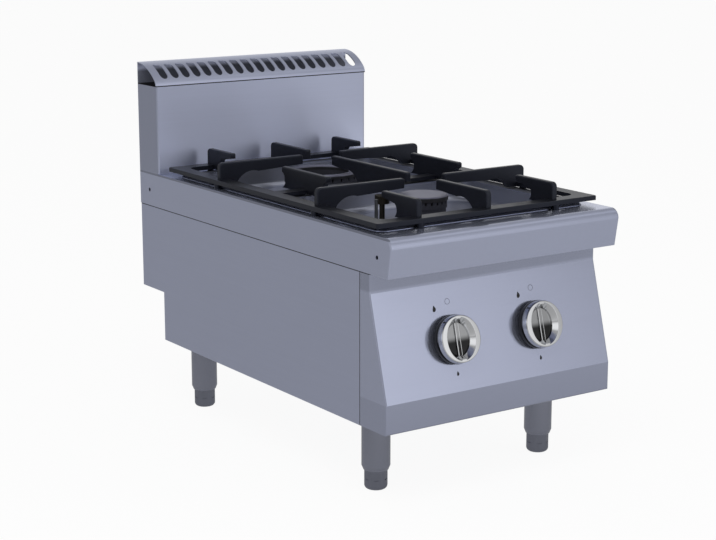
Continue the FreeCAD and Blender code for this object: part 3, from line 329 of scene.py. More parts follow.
class StoveSizes(bpy.types.PropertyGroup):
    """Sizes of the pieces that are made here."""

    knob_front: FloatProperty(
        name="Knob front", description="Front of the knob from the panel",
        default=0.0215, **LENGTH)
    knob_seam: FloatProperty(
        name="Knob seam", description="Where the chrome cap meets its black base",
        default=0.0095, **LENGTH)
    knob_radius: FloatProperty(
        name="Knob radius", description="Chrome cap at its seam",
        default=0.034, **LENGTH)
    valley_half: FloatProperty(
        name="Valley mouth", description="Half the valley's width at the knob's face",
        default=0.0245, **LENGTH)
    valley_reach: FloatProperty(
        name="Valley reach", description="Half the valley's length along the bar",
        default=0.0305, **LENGTH)
    valley_floor: FloatProperty(
        name="Valley floor", description="Half the valley's width at its floor",
        default=0.018, **LENGTH)
    valley_depth: FloatProperty(
        name="Valley depth", description="From the knob's face to the valley's floor",
        default=0.0105, **LENGTH)
    bar_half: FloatProperty(
        name="Pointer bar", description="Half the width of the bar in the valley",
        default=0.0039, **LENGTH)
    bar_height: FloatProperty(
        name="Bar height", description="Height of the bar over the valley's floor",
        default=0.0025, **LENGTH)
    mark_ring: FloatProperty(
        name="Off mark", description="Radius of the ring above each knob",
        default=0.0042, **LENGTH)
    mark_flame: FloatProperty(
        name="Flame mark", description="Height of the large flame mark",
        default=0.0095, **LENGTH)
    screw_head: FloatProperty(
        name="Screw head", description="Radius of the screw heads",
        default=0.004, **LENGTH)
    screw_rows: IntProperty(
        name="Screw rows", description="Screws down each side of the back panel", default=3, min=1)


class StoveStudio(bpy.types.PropertyGroup):
    """Camera, lamps and cards."""

    camera: FloatVectorProperty(
        name="Camera", description="Where the camera stands", subtype="TRANSLATION", unit="LENGTH",
        default=(-1.4892, -2.1568, 0.8311))
    aim: FloatVectorProperty(
        name="Camera turn", description="The camera's rotation", subtype="EULER", unit="ROTATION",
        default=(math.radians(77.53), math.radians(0.03), math.radians(-34.43)))
    lens: FloatProperty(
        name="Lens", description="Focal length in millimetres", subtype="DISTANCE_CAMERA", default=87.69)
    key: FloatProperty(
        name="Key lamp", description="Power of the large lamp above", subtype="POWER", default=24.0)
    fill: FloatProperty(
        name="Fill lamp", description="Power of the lamp in front", subtype="POWER", default=10.0)
    sky: FloatProperty(
        name="Room light", description="Strength of the light from all round", default=0.55, min=0.0)


# Finishes


def brushed_steel(name, colour, roughness, along, dark=None, polished=None, light_and_shade=(), **constants):
    """Brushed sheet: fine lines along one axis and faint clouds; other parts are given as functions."""
    finish = Finish(name, colour, roughness, metallic=STEEL_METALLIC, **constants)
    stretch = [LINE_SCALE] * 3
    stretch[along] = LINE_RUN
    lines = finish.noise(1.0, stretch, detail=2.0)
    broad_stretch = [BAND_SCALE] * 3
    broad_stretch[along] = BAND_RUN
    bands = finish.noise(1.0, broad_stretch, detail=2.0)
    clouds = finish.noise(5.0, detail=4.0)
    share = 0.45 * lines + 0.25 * bands + 0.3 * clouds
    tone = finish.blend(share, scaled(colour, 0.94), scaled(colour, 1.06))
    # Painted light and shade: the given parts are made lighter or darker by a factor.
    for part, factor in light_and_shade:
        tone = finish.blend(part(finish), tone, scaled(colour, factor))
    gloss = roughness - 0.04 + 0.05 * lines + 0.03 * clouds
    if polished is not None:
        gloss = gloss - (roughness - POLISHED_ROUGHNESS) * polished(finish)
    # Dark parts, blended to near-black: real joints, and painted shade in the flue and under the grate.
    if dark is not None:
        shade = dark(finish)
        tone = finish.blend(shade, tone, NEAR_BLACK)
        gloss = gloss + NEAR_BLACK_ROUGHNESS * shade
        finish.feed("Metallic", STEEL_METALLIC * (1.0 - shade))
    finish.feed("Base Color", tone)
    finish.feed("Roughness", gloss)
    finish.relief(0.7 * lines + 0.3 * bands, 0.000006)
    return finish


def turned_steel(name, colour, roughness, thread=None):
    """Turned bar: fine rings round the upright axis, and a screw thread above a height if there is one."""
    finish = Finish(name, colour, roughness, metallic=1.0)
    rings = finish.noise(1.0, (30.0, 30.0, 1500.0), detail=2.0)
    clouds = finish.noise(14.0, detail=3.0)
    finish.feed("Base Color", finish.blend(clouds, scaled(colour, 0.86), scaled(colour, 1.10)))
    finish.feed("Roughness", roughness - 0.04 + 0.06 * rings + 0.06 * clouds)
    if thread is None:
        finish.relief(rings, 0.00002)
        return finish
    start, pitch = thread
    settings = {"wave_type": "BANDS", "bands_direction": "Z", "wave_profile": "TRI"}
    inputs = {"Vector": finish.place(), "Scale": WAVE_LENGTH / pitch}
    waves = finish.add("ShaderNodeTexWave", settings, inputs)
    above = finish.axis(2).above(start)
    finish.relief(rings * 0.02 + waves * above, 0.0009)
    return finish


def cast_iron(name, colour, roughness, grain, depth):
    """Sand casting: a grainy skin with shallow pits and a bluish sheen of uneven tone."""
    finish = Finish(name, colour, roughness, specular_tint=(0.70, 0.77, 1.0, 1.0))
    skin = finish.noise(grain, detail=4.0, roughness=0.6)
    pits = finish.add("ShaderNodeTexVoronoi", None, {"Vector": finish.place(), "Scale": grain * 0.4})
    clouds = finish.noise(12.0, detail=3.0)
    finish.feed("Base Color", finish.blend(clouds, scaled(colour, 0.75), scaled(colour, 1.35)))
    finish.feed("Roughness", roughness - 0.10 + 0.14 * skin + 0.08 * clouds)
    finish.relief(skin + 0.5 * pits, depth)
    return finish


def yellow_metal(name, colour, roughness):
    """Machined brass or drawn copper with darker, duller patches."""
    finish = Finish(name, colour, roughness, metallic=1.0)
    fine = finish.noise(900.0, detail=2.0)
    patches = finish.noise(38.0, detail=4.0)
    dull = patches.ease(0.45, 0.75)
    finish.feed("Base Color", finish.blend(dull, colour, scaled(colour, 0.55)))
    finish.feed("Roughness", roughness - 0.03 + 0.06 * fine + 0.18 * dull)
    finish.relief(fine, 0.00003)
    return finish


def zinc_plate(name, colour, roughness, spangle):
    """Zinc coat with crystals of slightly different tone."""
    finish = Finish(name, colour, roughness, metallic=1.0)
    inputs = {"Vector": finish.place(), "Scale": spangle}
    crystals = finish.add("ShaderNodeTexVoronoi", None, inputs, "Color")
    tone = finish.add("ShaderNodeSeparateColor", None, {0: crystals})
    film = finish.noise(20.0, detail=3.0)
    share = 0.6 * tone + 0.4 * film
    finish.feed("Base Color", finish.blend(share, scaled(colour, 0.75), scaled(colour, 1.15)))
    finish.feed("Roughness", roughness - 0.08 + 0.12 * tone + 0.06 * film)
    finish.relief(film, 0.00004)
    return finish


def spun_cap(name, colour, middle, top):
    """Burner cap: satin top with turning rings and a heat stain, and a dark rim below it."""
    metallic = 0.55
    ring_scale = 1400.0
    finish = Finish(name, colour, 0.42, metallic=metallic)
    reach = finish.reach(middle, LEVEL)
    inputs = {"W": reach * ring_scale, "Scale": 1.0}
    turning = finish.add("ShaderNodeTexNoise", {"noise_dimensions": "1D"}, inputs)
    clouds = finish.noise(24.0, detail=4.0)
    stain = reach.ease(0.026, 0.046) * clouds
    tone = finish.blend(0.5 * turning + 0.5 * clouds, scaled(colour, 0.88), scaled(colour, 1.10))
    rim = finish.axis(2).below(top - SEAM)
    stained = finish.blend(0.5 * stain, tone, scaled(colour, 0.55))
    finish.feed("Base Color", finish.blend(rim, stained, NEAR_BLACK))
    finish.feed("Metallic", metallic * (1.0 - rim))
    finish.feed("Roughness", 0.36 + 0.08 * turning + 0.06 * clouds)
    finish.relief(turning, 0.00004)
    return finish


def pressed_steel(name, colour, middles):
    """Pressed well: satin, with wiping marks and a straw heat tint round the burner."""
    finish = Finish(name, colour, 0.30, metallic=STEEL_METALLIC)
    wipes = finish.noise(1.0, (14.0, 240.0, 14.0), detail=3.0)
    clouds = finish.noise(9.0, detail=4.0)
    heat = 0.0
    for middle in middles:
        heat = (1.0 - finish.reach(middle, LEVEL).ease(0.045, 0.095)) + heat
    tint = finish.blend(clouds, scaled(colour, 0.92), scaled(colour, 1.08))
    straw = (colour[0] * 0.95, colour[1] * 0.86, colour[2] * 0.72)
    finish.feed("Base Color", finish.blend(0.35 * heat, tint, straw))
    finish.feed("Roughness", 0.27 + 0.05 * wipes + 0.04 * clouds)
    finish.relief(wipes + 2.0 * clouds, 0.00002)
    return finish


def chrome_plate(name, colour, seat, sizes):
    """Chrome with faint wiping marks; the valley's floor and the bar's face get painted shade and a painted
    dark reflection, darker below.
    """
    slack = 0.0004
    fade = 0.005
    face_share = 0.6
    finish = Finish(name, colour, 0.07, metallic=1.0)
    clouds = finish.noise(60.0, detail=3.0)
    bright = finish.blend(clouds, scaled(colour, 0.96), scaled(colour, 1.02))
    middle = seat.translation
    upward = finish.along(seat.col[1].to_3d(), middle)
    outward = finish.along(seat.col[2].to_3d(), middle)
    bar_top = sizes.knob_front - sizes.valley_depth + sizes.bar_height
    face = finish.reach(middle, ACROSS).below(sizes.bar_half * face_share)
    shaded_faces = outward.below(bar_top - slack).larger(face * outward.below(bar_top + slack))
    # Painted reflection: near-black on the lower half, half-bright on the upper half.
    painted_reflection = finish.blend(upward.ease(-fade, fade), scaled(colour, 0.04), scaled(colour, 0.5))
    finish.feed("Base Color", finish.blend(shaded_faces, bright, painted_reflection))
    finish.feed("Roughness", 0.04 + 0.07 * clouds)
    return finish


def moulded_black(name, colour, roughness):
    """Moulded plastic or baked ink: faint grain and uneven gloss."""
    finish = Finish(name, colour, roughness)
    grain = finish.noise(1800.0, detail=2.0)
    clouds = finish.noise(40.0, detail=3.0)
    finish.feed("Base Color", finish.blend(clouds, scaled(colour, 0.8), scaled(colour, 1.3)))
    finish.feed("Roughness", roughness - 0.05 + 0.10 * clouds)
    finish.relief(grain, 0.00003)
    return finish


# Operators


class STOVE_OT_sheets(bpy.types.Operator):
    """Finish the casing sheets in brushed steel and the wells in bright steel"""

    bl_idname = "stove.sheets"
    bl_label = "Casing sheets"

    sheet_roughness = 0.34
    flue_back_roughness = 0.36
    hob_roughness = 0.30
    panel_roughness = 0.15
    flue_smear = 0.95
    flue_smear_turn = 0.25
    # Painted light: the whole flue lighter than the other sheets, and its lower part lighter still.
    flue_painted_light = 1.18
    flue_low_light = 1.22
    # Painted shade on the flue's outer sides.
    flue_side_shade = 0.68
    flue_low_share = 0.7
    # Painted shade inside the flue and the grille.
    flue_painted_shade = 0.75
    # Painted shade on the hob under the grate.
    hob_shade_share = 0.85
    # Painted shade on the hob's bends.
    hob_fold_shade = 0.55
    panel_band_height = 0.028
    panel_band_tint = 0.78
    panel_lip_height = 0.0415
    # Painted shade on the panel's lip.
    panel_lip_shade = 0.88

    def execute(self, context):
        colours = context.scene.stove_colours
        steel = tuple(colours.steel)
        rough = self.sheet_roughness
        self.dress_flue(steel)
        dress(brushed_steel("steel back", steel, rough, 0), "back_panel")
        sides = brushed_steel("steel sides", steel, rough, 1, self.skirt_seam)
        dress(sides, "left_side_panel", "right_side_panel")
        dress(brushed_steel("steel base", steel, rough, 1), "base_pan")
        hob_shades = ((self.hob_folds, self.hob_fold_shade),)
        hob = brushed_steel(
            "steel hob", steel, self.hob_roughness, 1, self.hob_painted_shade, self.hob_face, hob_shades)
        dress(hob, "hob_top")
        panel_shades = ((self.panel_band, self.panel_band_tint), (self.panel_lip, self.panel_lip_shade))
        panel = brushed_steel(
            "steel control panel", steel, self.panel_roughness, 0, self.panel_seams, light_and_shade=panel_shades)
        dress(panel, "control_panel")
        middles = [burner_middle(burner) for burner in BURNERS]
        dress(pressed_steel("bright pressed steel", tuple(colours.well), middles),
              "front_burner_well", "rear_burner_well")
        return {"FINISHED"}

    def dress_flue(self, steel):
        smear = {"anisotropic": self.flue_smear, "anisotropic_rotation": self.flue_smear_turn}
        light_and_shade = ((self.flue_low, self.flue_low_light), (self.flue_sides, self.flue_side_shade))
        # Painted light: the casing steel made lighter for the flue.
        bright = scaled(steel, self.flue_painted_light)
        rough = self.sheet_roughness
        riser = brushed_steel("steel flue", bright, rough, 0, self.flue_inside, light_and_shade=light_and_shade, **smear)
        dress(riser, "flue_riser")
        dress(brushed_steel("steel grille", steel, rough, 0, self.grille_joint_and_shade), "flue_grille")
        back = brushed_steel("steel flue back", steel, self.flue_back_roughness, 0, self.back_inside)
        dress(back, "flue_back")

    def hob_face(self, finish):
        """The hob's level rim and the raised field inside it."""
        return finish.axis(2).above(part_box("grate_feet")[0].z - SEAM / 8)

    def hob_painted_shade(self, finish):
        """Painted shade on the raised field under the grate, and on the rim along the grate's right side.
        """
        field = finish.axis(2).above(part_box("hob_top")[1].z - SEAM / 8)
        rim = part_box("grate_feet")[0].z
        level = self.hob_face(finish) * finish.axis(2).below(rim + SEAM / 8)
        right = finish.axis(0).above(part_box("front_burner_well")[1].x)
        beside = right * finish.axis(1).above(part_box("pot_grate")[0].y + 20 * SEAM)
        return self.hob_shade_share * field.larger(level * beside)

    def hob_folds(self, finish):
        """The two bends between the hob's top and its skirts, which get painted shade."""
        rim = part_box("grate_feet")[0].z
        outside = finish.reach((0.0, 0.0, 0.0), ACROSS).above(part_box("hob_top")[1].x - 2 * SEAM)
        return outside * finish.axis(2).above(rim - 2 * SEAM) * finish.axis(2).below(rim - SEAM / 8)

    def flue_low(self, finish):
        """The flue's lower part, fading upwards, which gets painted light."""
        low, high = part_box("flue_riser")
        return 1.0 - finish.axis(2).ease(low.z, low.z + self.flue_low_share * (high.z - low.z))

    def flue_sides(self, finish):
        """The flue's two outer side faces, which get painted shade."""
        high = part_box("flue_riser")[1]
        return finish.reach((0.0, 0.0, 0.0), ACROSS).ease(high.x - 2 * SEAM, high.x - SEAM / 4)

    def skirt_seam(self, finish):
        """The joint under the hob's skirt."""
        return finish.axis(2).above(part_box("left_side_panel")[1].z - SEAM)

    def panel_seams(self, finish):
        """The same joint over the panel's cheeks, and the one behind them."""
        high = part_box("control_panel")[1]
        return finish.axis(2).above(high.z - SEAM).larger(finish.axis(1).above(high.y - SEAM / 2))

    def panel_band(self, finish):
        """The upright band at the panel's head, in the shade of the hob's front."""
        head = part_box("control_panel")[1].z
        return finish.axis(2).ease(head - self.panel_band_height, head - 0.8 * self.panel_band_height)

    def panel_lip(self, finish):
        """The lip under the panel's crease, turned to the floor and darkened with painted shade."""
        return finish.axis(2).below(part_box("control_panel")[0].z + self.panel_lip_height)

    def grille_joint_and_shade(self, finish):
        """The joint between grille and flue, and painted shade low down inside the grille's rear leg."""
        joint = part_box("flue_riser")[1].z
        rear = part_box("flue_grille")[1].y
        leg = finish.axis(1).above(rear - 4 * SEAM) * finish.axis(1).below(rear - SEAM / 3)
        low_shade = self.flue_painted_shade * leg * (1.0 - finish.axis(2).ease(joint + 12 * SEAM, joint + 16 * SEAM))
        return low_shade.larger(finish.axis(2).below(joint + SEAM))

    def flue_inside(self, finish):
        """Painted shade on the flue's inner side walls."""
        low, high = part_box("flue_riser")
        middle = (low + high) / 2
        within = finish.reach(middle, ACROSS).below(high.x - SEAM / 2)
        return self.flue_painted_shade * within * finish.axis(1).above(low.y + 10 * SEAM)

    def back_inside(self, finish):
        """Painted shade on the front of the flue's back sheet."""
        return self.flue_painted_shade * finish.axis(1).below(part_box("flue_back")[0].y + SEAM / 4)


def burner_middle(burner):
    low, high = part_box(burner + "_burner_cap")
    return (low + high) / 2


class STOVE_OT_legs(bpy.types.Operator):
    """Finish the leg tubes and their threaded feet"""

    bl_idname = "stove.legs"
    bl_label = "Legs and feet"

    tube_roughness = 0.17
    foot_roughness = 0.34
    foot_tint = 0.8
    thread_pitch = 0.002

    def execute(self, context):
        leg = tuple(context.scene.stove_colours.leg)
        tube = brushed_steel("leg tube", leg, self.tube_roughness, 2)
        thread = (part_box("front_left_leg")[0].z, self.thread_pitch)
        foot = turned_steel("turned foot", scaled(leg, self.foot_tint), self.foot_roughness, thread)
        dress(tube, *[corner + "_leg" for corner in CORNERS])
        dress(foot, *[corner + "_foot" for corner in CORNERS])
        return {"FINISHED"}


class STOVE_OT_grate(bpy.types.Operator):
    """Finish the pot grate and its feet as black casting"""

    bl_idname = "stove.grate"
    bl_label = "Pot grate"

    def execute(self, context):
        iron = tuple(context.scene.stove_colours.iron)
        dress(cast_iron("black casting", iron, 0.38, 700.0, 0.00008), "pot_grate", "grate_feet")
        return {"FINISHED"}


class STOVE_OT_burners(bpy.types.Operator):
    """Finish both burners, their pilots and their flame probes"""

    bl_idname = "stove.burners"
    bl_label = "Burners"

    def execute(self, context):
        colours = context.scene.stove_colours
        casting = cast_iron("raw casting", tuple(colours.casting), 0.62, 420.0, 0.0004)
        brass = yellow_metal("machined brass", tuple(colours.brass), 0.26)
        copper = yellow_metal("drawn copper", tuple(colours.copper), 0.30)
        pilot = yellow_metal("browned brass", tuple(colours.pilot), 0.45)
        probe = turned_steel("probe steel", scaled(tuple(colours.zinc), 0.35), 0.45)
        for burner in BURNERS:
            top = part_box(burner + "_burner_cap")[1].z
            cap = spun_cap(burner + " burner cap", tuple(colours.cap), burner_middle(burner), top)
            dress(cap, burner + "_burner_cap")
            dress(casting, burner + "_burner_body", burner + "_burner_crown")
            dress(pilot, burner + "_pilot")
            dress(brass, burner + "_injector")
            dress(probe, burner + "_thermocouple")
            dress(copper, burner + "_pilot_tube", burner + "_supply_tube")
        return {"FINISHED"}


class STOVE_OT_gas_line(bpy.types.Operator):
    """Finish the taps, the manifold, the inlet and the brackets under the hob"""

    bl_idname = "stove.gas_line"
    bl_label = "Gas line"

    def execute(self, context):
        colours = context.scene.stove_colours
        brass = yellow_metal("tap brass", tuple(colours.brass), 0.30)
        zinc = zinc_plate("galvanised sheet", tuple(colours.zinc), 0.42, 90.0)
        pipe = zinc_plate("plated pipe", scaled(tuple(colours.zinc), 0.85), 0.38, 400.0)
        for side in SIDES:
            dress(brass, side + "_gas_tap", side + "_tap_spindle", side + "_tap_plunger")
        dress(brass, "gas_inlet_locknut")
        dress(zinc, "front_burner_bracket", "rear_burner_bracket", "manifold_clips")
        dress(pipe, "gas_manifold", "gas_inlet_pipe")
        return {"FINISHED"}


class STOVE_OT_knobs(bpy.types.Operator):
    """Make the chrome knob caps and finish their black bases"""

    bl_idname = "stove.knobs"
    bl_label = "Knobs"

    edge = 0.0016
    draft = 0.0014
    crown = 0.0006
    front_taper = 0.0012
    flank_share = 0.7
    rings = 110
    spokes = 288

    def execute(self, context):
        sizes = context.scene.stove_sizes
        colours = context.scene.stove_colours
        black = moulded_black("moulded black", tuple(colours.black), 0.32)
        for side in SIDES:
            seat = panel_matrix(side)
            chrome = chrome_plate(side + " knob chrome", tuple(colours.chrome), seat, sizes)
            front = self.front_at(sizes)
            mesh = relief_disc(
                side + " knob cap", sizes.knob_radius, front, sizes.knob_seam, self.rings, self.spokes)
            mesh.transform(seat)
            cap = linked(side + "_knob_cap", mesh, chrome, side + "_knob")
            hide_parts(side + "_knob")
            dress(black, side + "_knob_skirt", side + "_knob_bezel")
            dress(chrome, side + "_knob")
        return {"FINISHED"}

    def front_at(self, sizes):
        """Front height of the cap: a crowned face with a rounded edge, and a long dish with a bar in it."""
        face_radius = sizes.knob_radius - self.front_taper
        flat_radius = face_radius - self.edge
        slope = (sizes.knob_front - self.edge - sizes.knob_seam) / self.front_taper

        def height(x, y):
            reach = math.hypot(x, y)
            front = sizes.knob_front - self.crown * (reach / face_radius) ** 2
            if reach > face_radius:
                fall = (reach - face_radius) * slope * self.flank_share
                front = sizes.knob_front - self.edge - self.crown - fall
            elif reach > flat_radius:
                over = (reach - flat_radius) / self.edge
                front -= self.edge * (1.0 - math.sqrt(max(0.0, 1.0 - over * over)))
            aside = math.hypot(x, y * sizes.valley_half / sizes.valley_reach)
            sunk = (sizes.valley_half - aside) / (sizes.valley_half - sizes.valley_floor)
            beside = step(abs(x), sizes.bar_half - self.draft / 2, sizes.bar_half + self.draft / 2)
            valley = sizes.valley_depth * max(0.0, min(1.0, sunk)) - sizes.bar_height * (1.0 - beside)
            return min(front, sizes.knob_front - valley)

        return height


class STOVE_OT_marks(bpy.types.Operator):
    """Print the ring and the two flames round each knob"""

    bl_idname = "stove.marks"
    bl_label = "Panel marks"

    ink = 0.00008
    ring_up = 0.053
    ring_inner_share = 0.90
    flame_reach = 0.052
    flame_turn = math.radians(28.0)
    small_flame_down = 0.047
    small_share = 0.72
    flame_width = 0.34
    flame_lean = 0.10
    flame_taper = 2.2

    def execute(self, context):
        sizes = context.scene.stove_sizes
        black = moulded_black("printed ink", tuple(context.scene.stove_colours.black), 0.5)
        for side in SIDES:
            work = bmesh.new()
            ring_middle = Vector((0.0, self.ring_up))
            self.add_ring(work, ring_middle, sizes.mark_ring, sizes.mark_ring * self.ring_inner_share)
            left = Vector((-math.sin(self.flame_turn), math.cos(self.flame_turn))) * self.flame_reach
            self.add_flame(work, left, sizes.mark_flame)
            self.add_flame(work, Vector((0.0, -self.small_flame_down)), sizes.mark_flame * self.small_share)
            mesh = bpy.data.meshes.new(side + " panel marks")
            work.to_mesh(mesh)
            work.free()
            mesh.transform(panel_matrix(side))
            linked(side + "_panel_marks", mesh, black, CASING)
        return {"FINISHED"}

    def add_plate(self, work, points):
        """A thin closed plate on the panel from an outline that runs counter-clockwise."""
        low = [work.verts.new((point.x, point.y, 0.0)) for point in points]
        high = [work.verts.new((point.x, point.y, self.ink)) for point in points]
        work.faces.new(high)
        work.faces.new(list(reversed(low)))
        for index in range(len(points)):
            after = (index + 1) % len(points)
            work.faces.new((low[index], low[after], high[after], high[index]))

    def add_ring(self, work, middle, outer, inner, count=32):
        for index in range(count):
            angles = (math.tau * index / count, math.tau * (index + 1) / count)
            ways = [Vector((math.cos(angle), math.sin(angle))) for angle in angles]
            points = [middle + ways[0] * inner, middle + ways[0] * outer,
                      middle + ways[1] * outer, middle + ways[1] * inner]
            self.add_plate(work, points)

    def add_flame(self, work, middle, height, count=24):
        """A flame: a drop that leans to one side at its tip."""
        points = []
        for index in range(count):
            angle = math.tau * index / count - math.pi / 2
            rise = (math.sin(angle) + 1.0) / 2
            width = self.flame_width * height * math.cos(angle) * (1.0 - rise ** self.flame_taper)
            lean = self.flame_lean * height * math.sin(math.pi * rise)
            points.append(middle + Vector((width + lean, (rise - 0.5) * height)))
        self.add_plate(work, points)


class STOVE_OT_screws(bpy.types.Operator):
    """Set cross-head screws on the back, the flue and under the legs"""

    bl_idname = "stove.screws"
    bl_label = "Screws"

    head_height = 0.002
    head_drop = 0.55
    recess_half = 0.00055
    recess_reach = 0.0022
    recess_depth = 0.0012
    circle = 0.0265
    rings = 16
    spokes = 40

    def execute(self, context):
        sizes = context.scene.stove_sizes
        zinc = zinc_plate("bright zinc", tuple(context.scene.stove_colours.zinc), 0.30, 900.0)
        front = self.front_at(sizes)
        head = relief_disc("screw head", sizes.screw_head, front, 0.0, self.rings, self.spokes)
        template = bpy.data.objects.new("screw head", head)
        tree = self.screw_tree(template, zinc)
        backwards = Euler((-math.pi / 2, 0.0, 0.0))
        downwards = Euler((math.pi, 0.0, 0.0))
        groups = (
            ("back_panel_screws", self.back_places(sizes), backwards),
            ("flue_screws", self.flue_places(sizes), backwards),
            ("leg_screws", self.leg_places(), downwards),
        )
        for node, places, turn in groups:
            mesh = self.set_out(node, places, turn, tree)
            piece = linked(node + "_heads", mesh, zinc, CASING)
            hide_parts(node)
            dress(zinc, node)
        bpy.data.node_groups.remove(tree)
        bpy.data.objects.remove(template)
        return {"FINISHED"}

    def front_at(self, sizes):
        """Front height of a pan head with a cross recess."""

        def height(x, y):
            share = min(1.0, math.hypot(x, y) / sizes.screw_head)
            front = self.head_height * (1.0 - self.head_drop * share ** 4)
            near = min(abs(x), abs(y))
            far = max(abs(x), abs(y))
            slot = 1.0 - step(near, self.recess_half * 0.6, self.recess_half * 1.3)
            end = 1.0 - step(far, self.recess_reach * 0.8, self.recess_reach)
            return front - self.recess_depth * slot * end

        return height

    def screw_tree(self, template, zinc):
        """Geometry nodes: one screw head on every point, turned the same way."""
        tree = bpy.data.node_groups.new("screw heads", "GeometryNodeTree")
        tree.interface.new_socket("Places", in_out="INPUT", socket_type="NodeSocketGeometry")
        tree.interface.new_socket("Turn", in_out="INPUT", socket_type="NodeSocketVector")
        tree.interface.new_socket("Screws", in_out="OUTPUT", socket_type="NodeSocketGeometry")
        entry = tree.nodes.new("NodeGroupInput")
        exit_node = tree.nodes.new("NodeGroupOutput")
        head = tree.nodes.new("GeometryNodeObjectInfo")
        head.inputs["Object"].default_value = template
        points = tree.nodes.new("GeometryNodeMeshToPoints")
        spread = tree.nodes.new("GeometryNodeInstanceOnPoints")
        real = tree.nodes.new("GeometryNodeRealizeInstances")
        finish = tree.nodes.new("GeometryNodeSetMaterial")
        finish.inputs["Material"].default_value = zinc.material
        links = (
            (entry.outputs["Places"], points.inputs["Mesh"]),
            (points.outputs["Points"], spread.inputs["Points"]),
            (head.outputs["Geometry"], spread.inputs["Instance"]),
            (entry.outputs["Turn"], spread.inputs["Rotation"]),
            (spread.outputs["Instances"], real.inputs["Geometry"]),
            (real.outputs["Geometry"], finish.inputs["Geometry"]),
            (finish.outputs["Geometry"], exit_node.inputs["Screws"]),
        )
        for start, end in links:
            tree.links.new(start, end)
        return tree

    def set_out(self, name, places, turn, tree):
        """Screw heads at their places as one plain mesh."""
        mesh = bpy.data.meshes.new(name + " places")
        mesh.from_pydata(places, [], [])
        holder = bpy.data.objects.new(name + " places", mesh)
        bpy.context.scene.collection.objects.link(holder)
        modifier = holder.modifiers.new("screw heads", "NODES")
        modifier.node_group = tree
        sockets = {item.name: item.identifier for item in tree.interface.items_tree}
        modifier[sockets["Turn"]] = tuple(turn)
        graph = bpy.context.evaluated_depsgraph_get()
        result = bpy.data.meshes.new_from_object(holder.evaluated_get(graph))
        bpy.data.objects.remove(holder)
        return result

    def back_places(self, sizes):
        low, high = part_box("back_panel_screws")
        first = low.z + sizes.screw_head
        spacing = (high.z - low.z - 2 * sizes.screw_head) / (sizes.screw_rows - 1)
        xs = (low.x + sizes.screw_head, high.x - sizes.screw_head)
        y = high.y - self.head_height
        return [(x, y, first + row * spacing) for x in xs for row in range(sizes.screw_rows)]

    def flue_places(self, sizes):
        low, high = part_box("flue_screws")
        xs = (low.x + sizes.screw_head, 0.0, high.x - sizes.screw_head)
        return [(x, high.y - self.head_height, (low.z + high.z) / 2) for x in xs]

    def leg_places(self):
        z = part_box("leg_screws")[0].z + self.head_height
        places = []
        for corner in CORNERS:
            low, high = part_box(corner + "_leg")
            for quarter in range(4):
                angle = math.radians(45 + 90 * quarter)
                x = (low.x + high.x) / 2 + self.circle * math.cos(angle)
                y = (low.y + high.y) / 2 + self.circle * math.sin(angle)
                places.append((x, y, z))
        return places


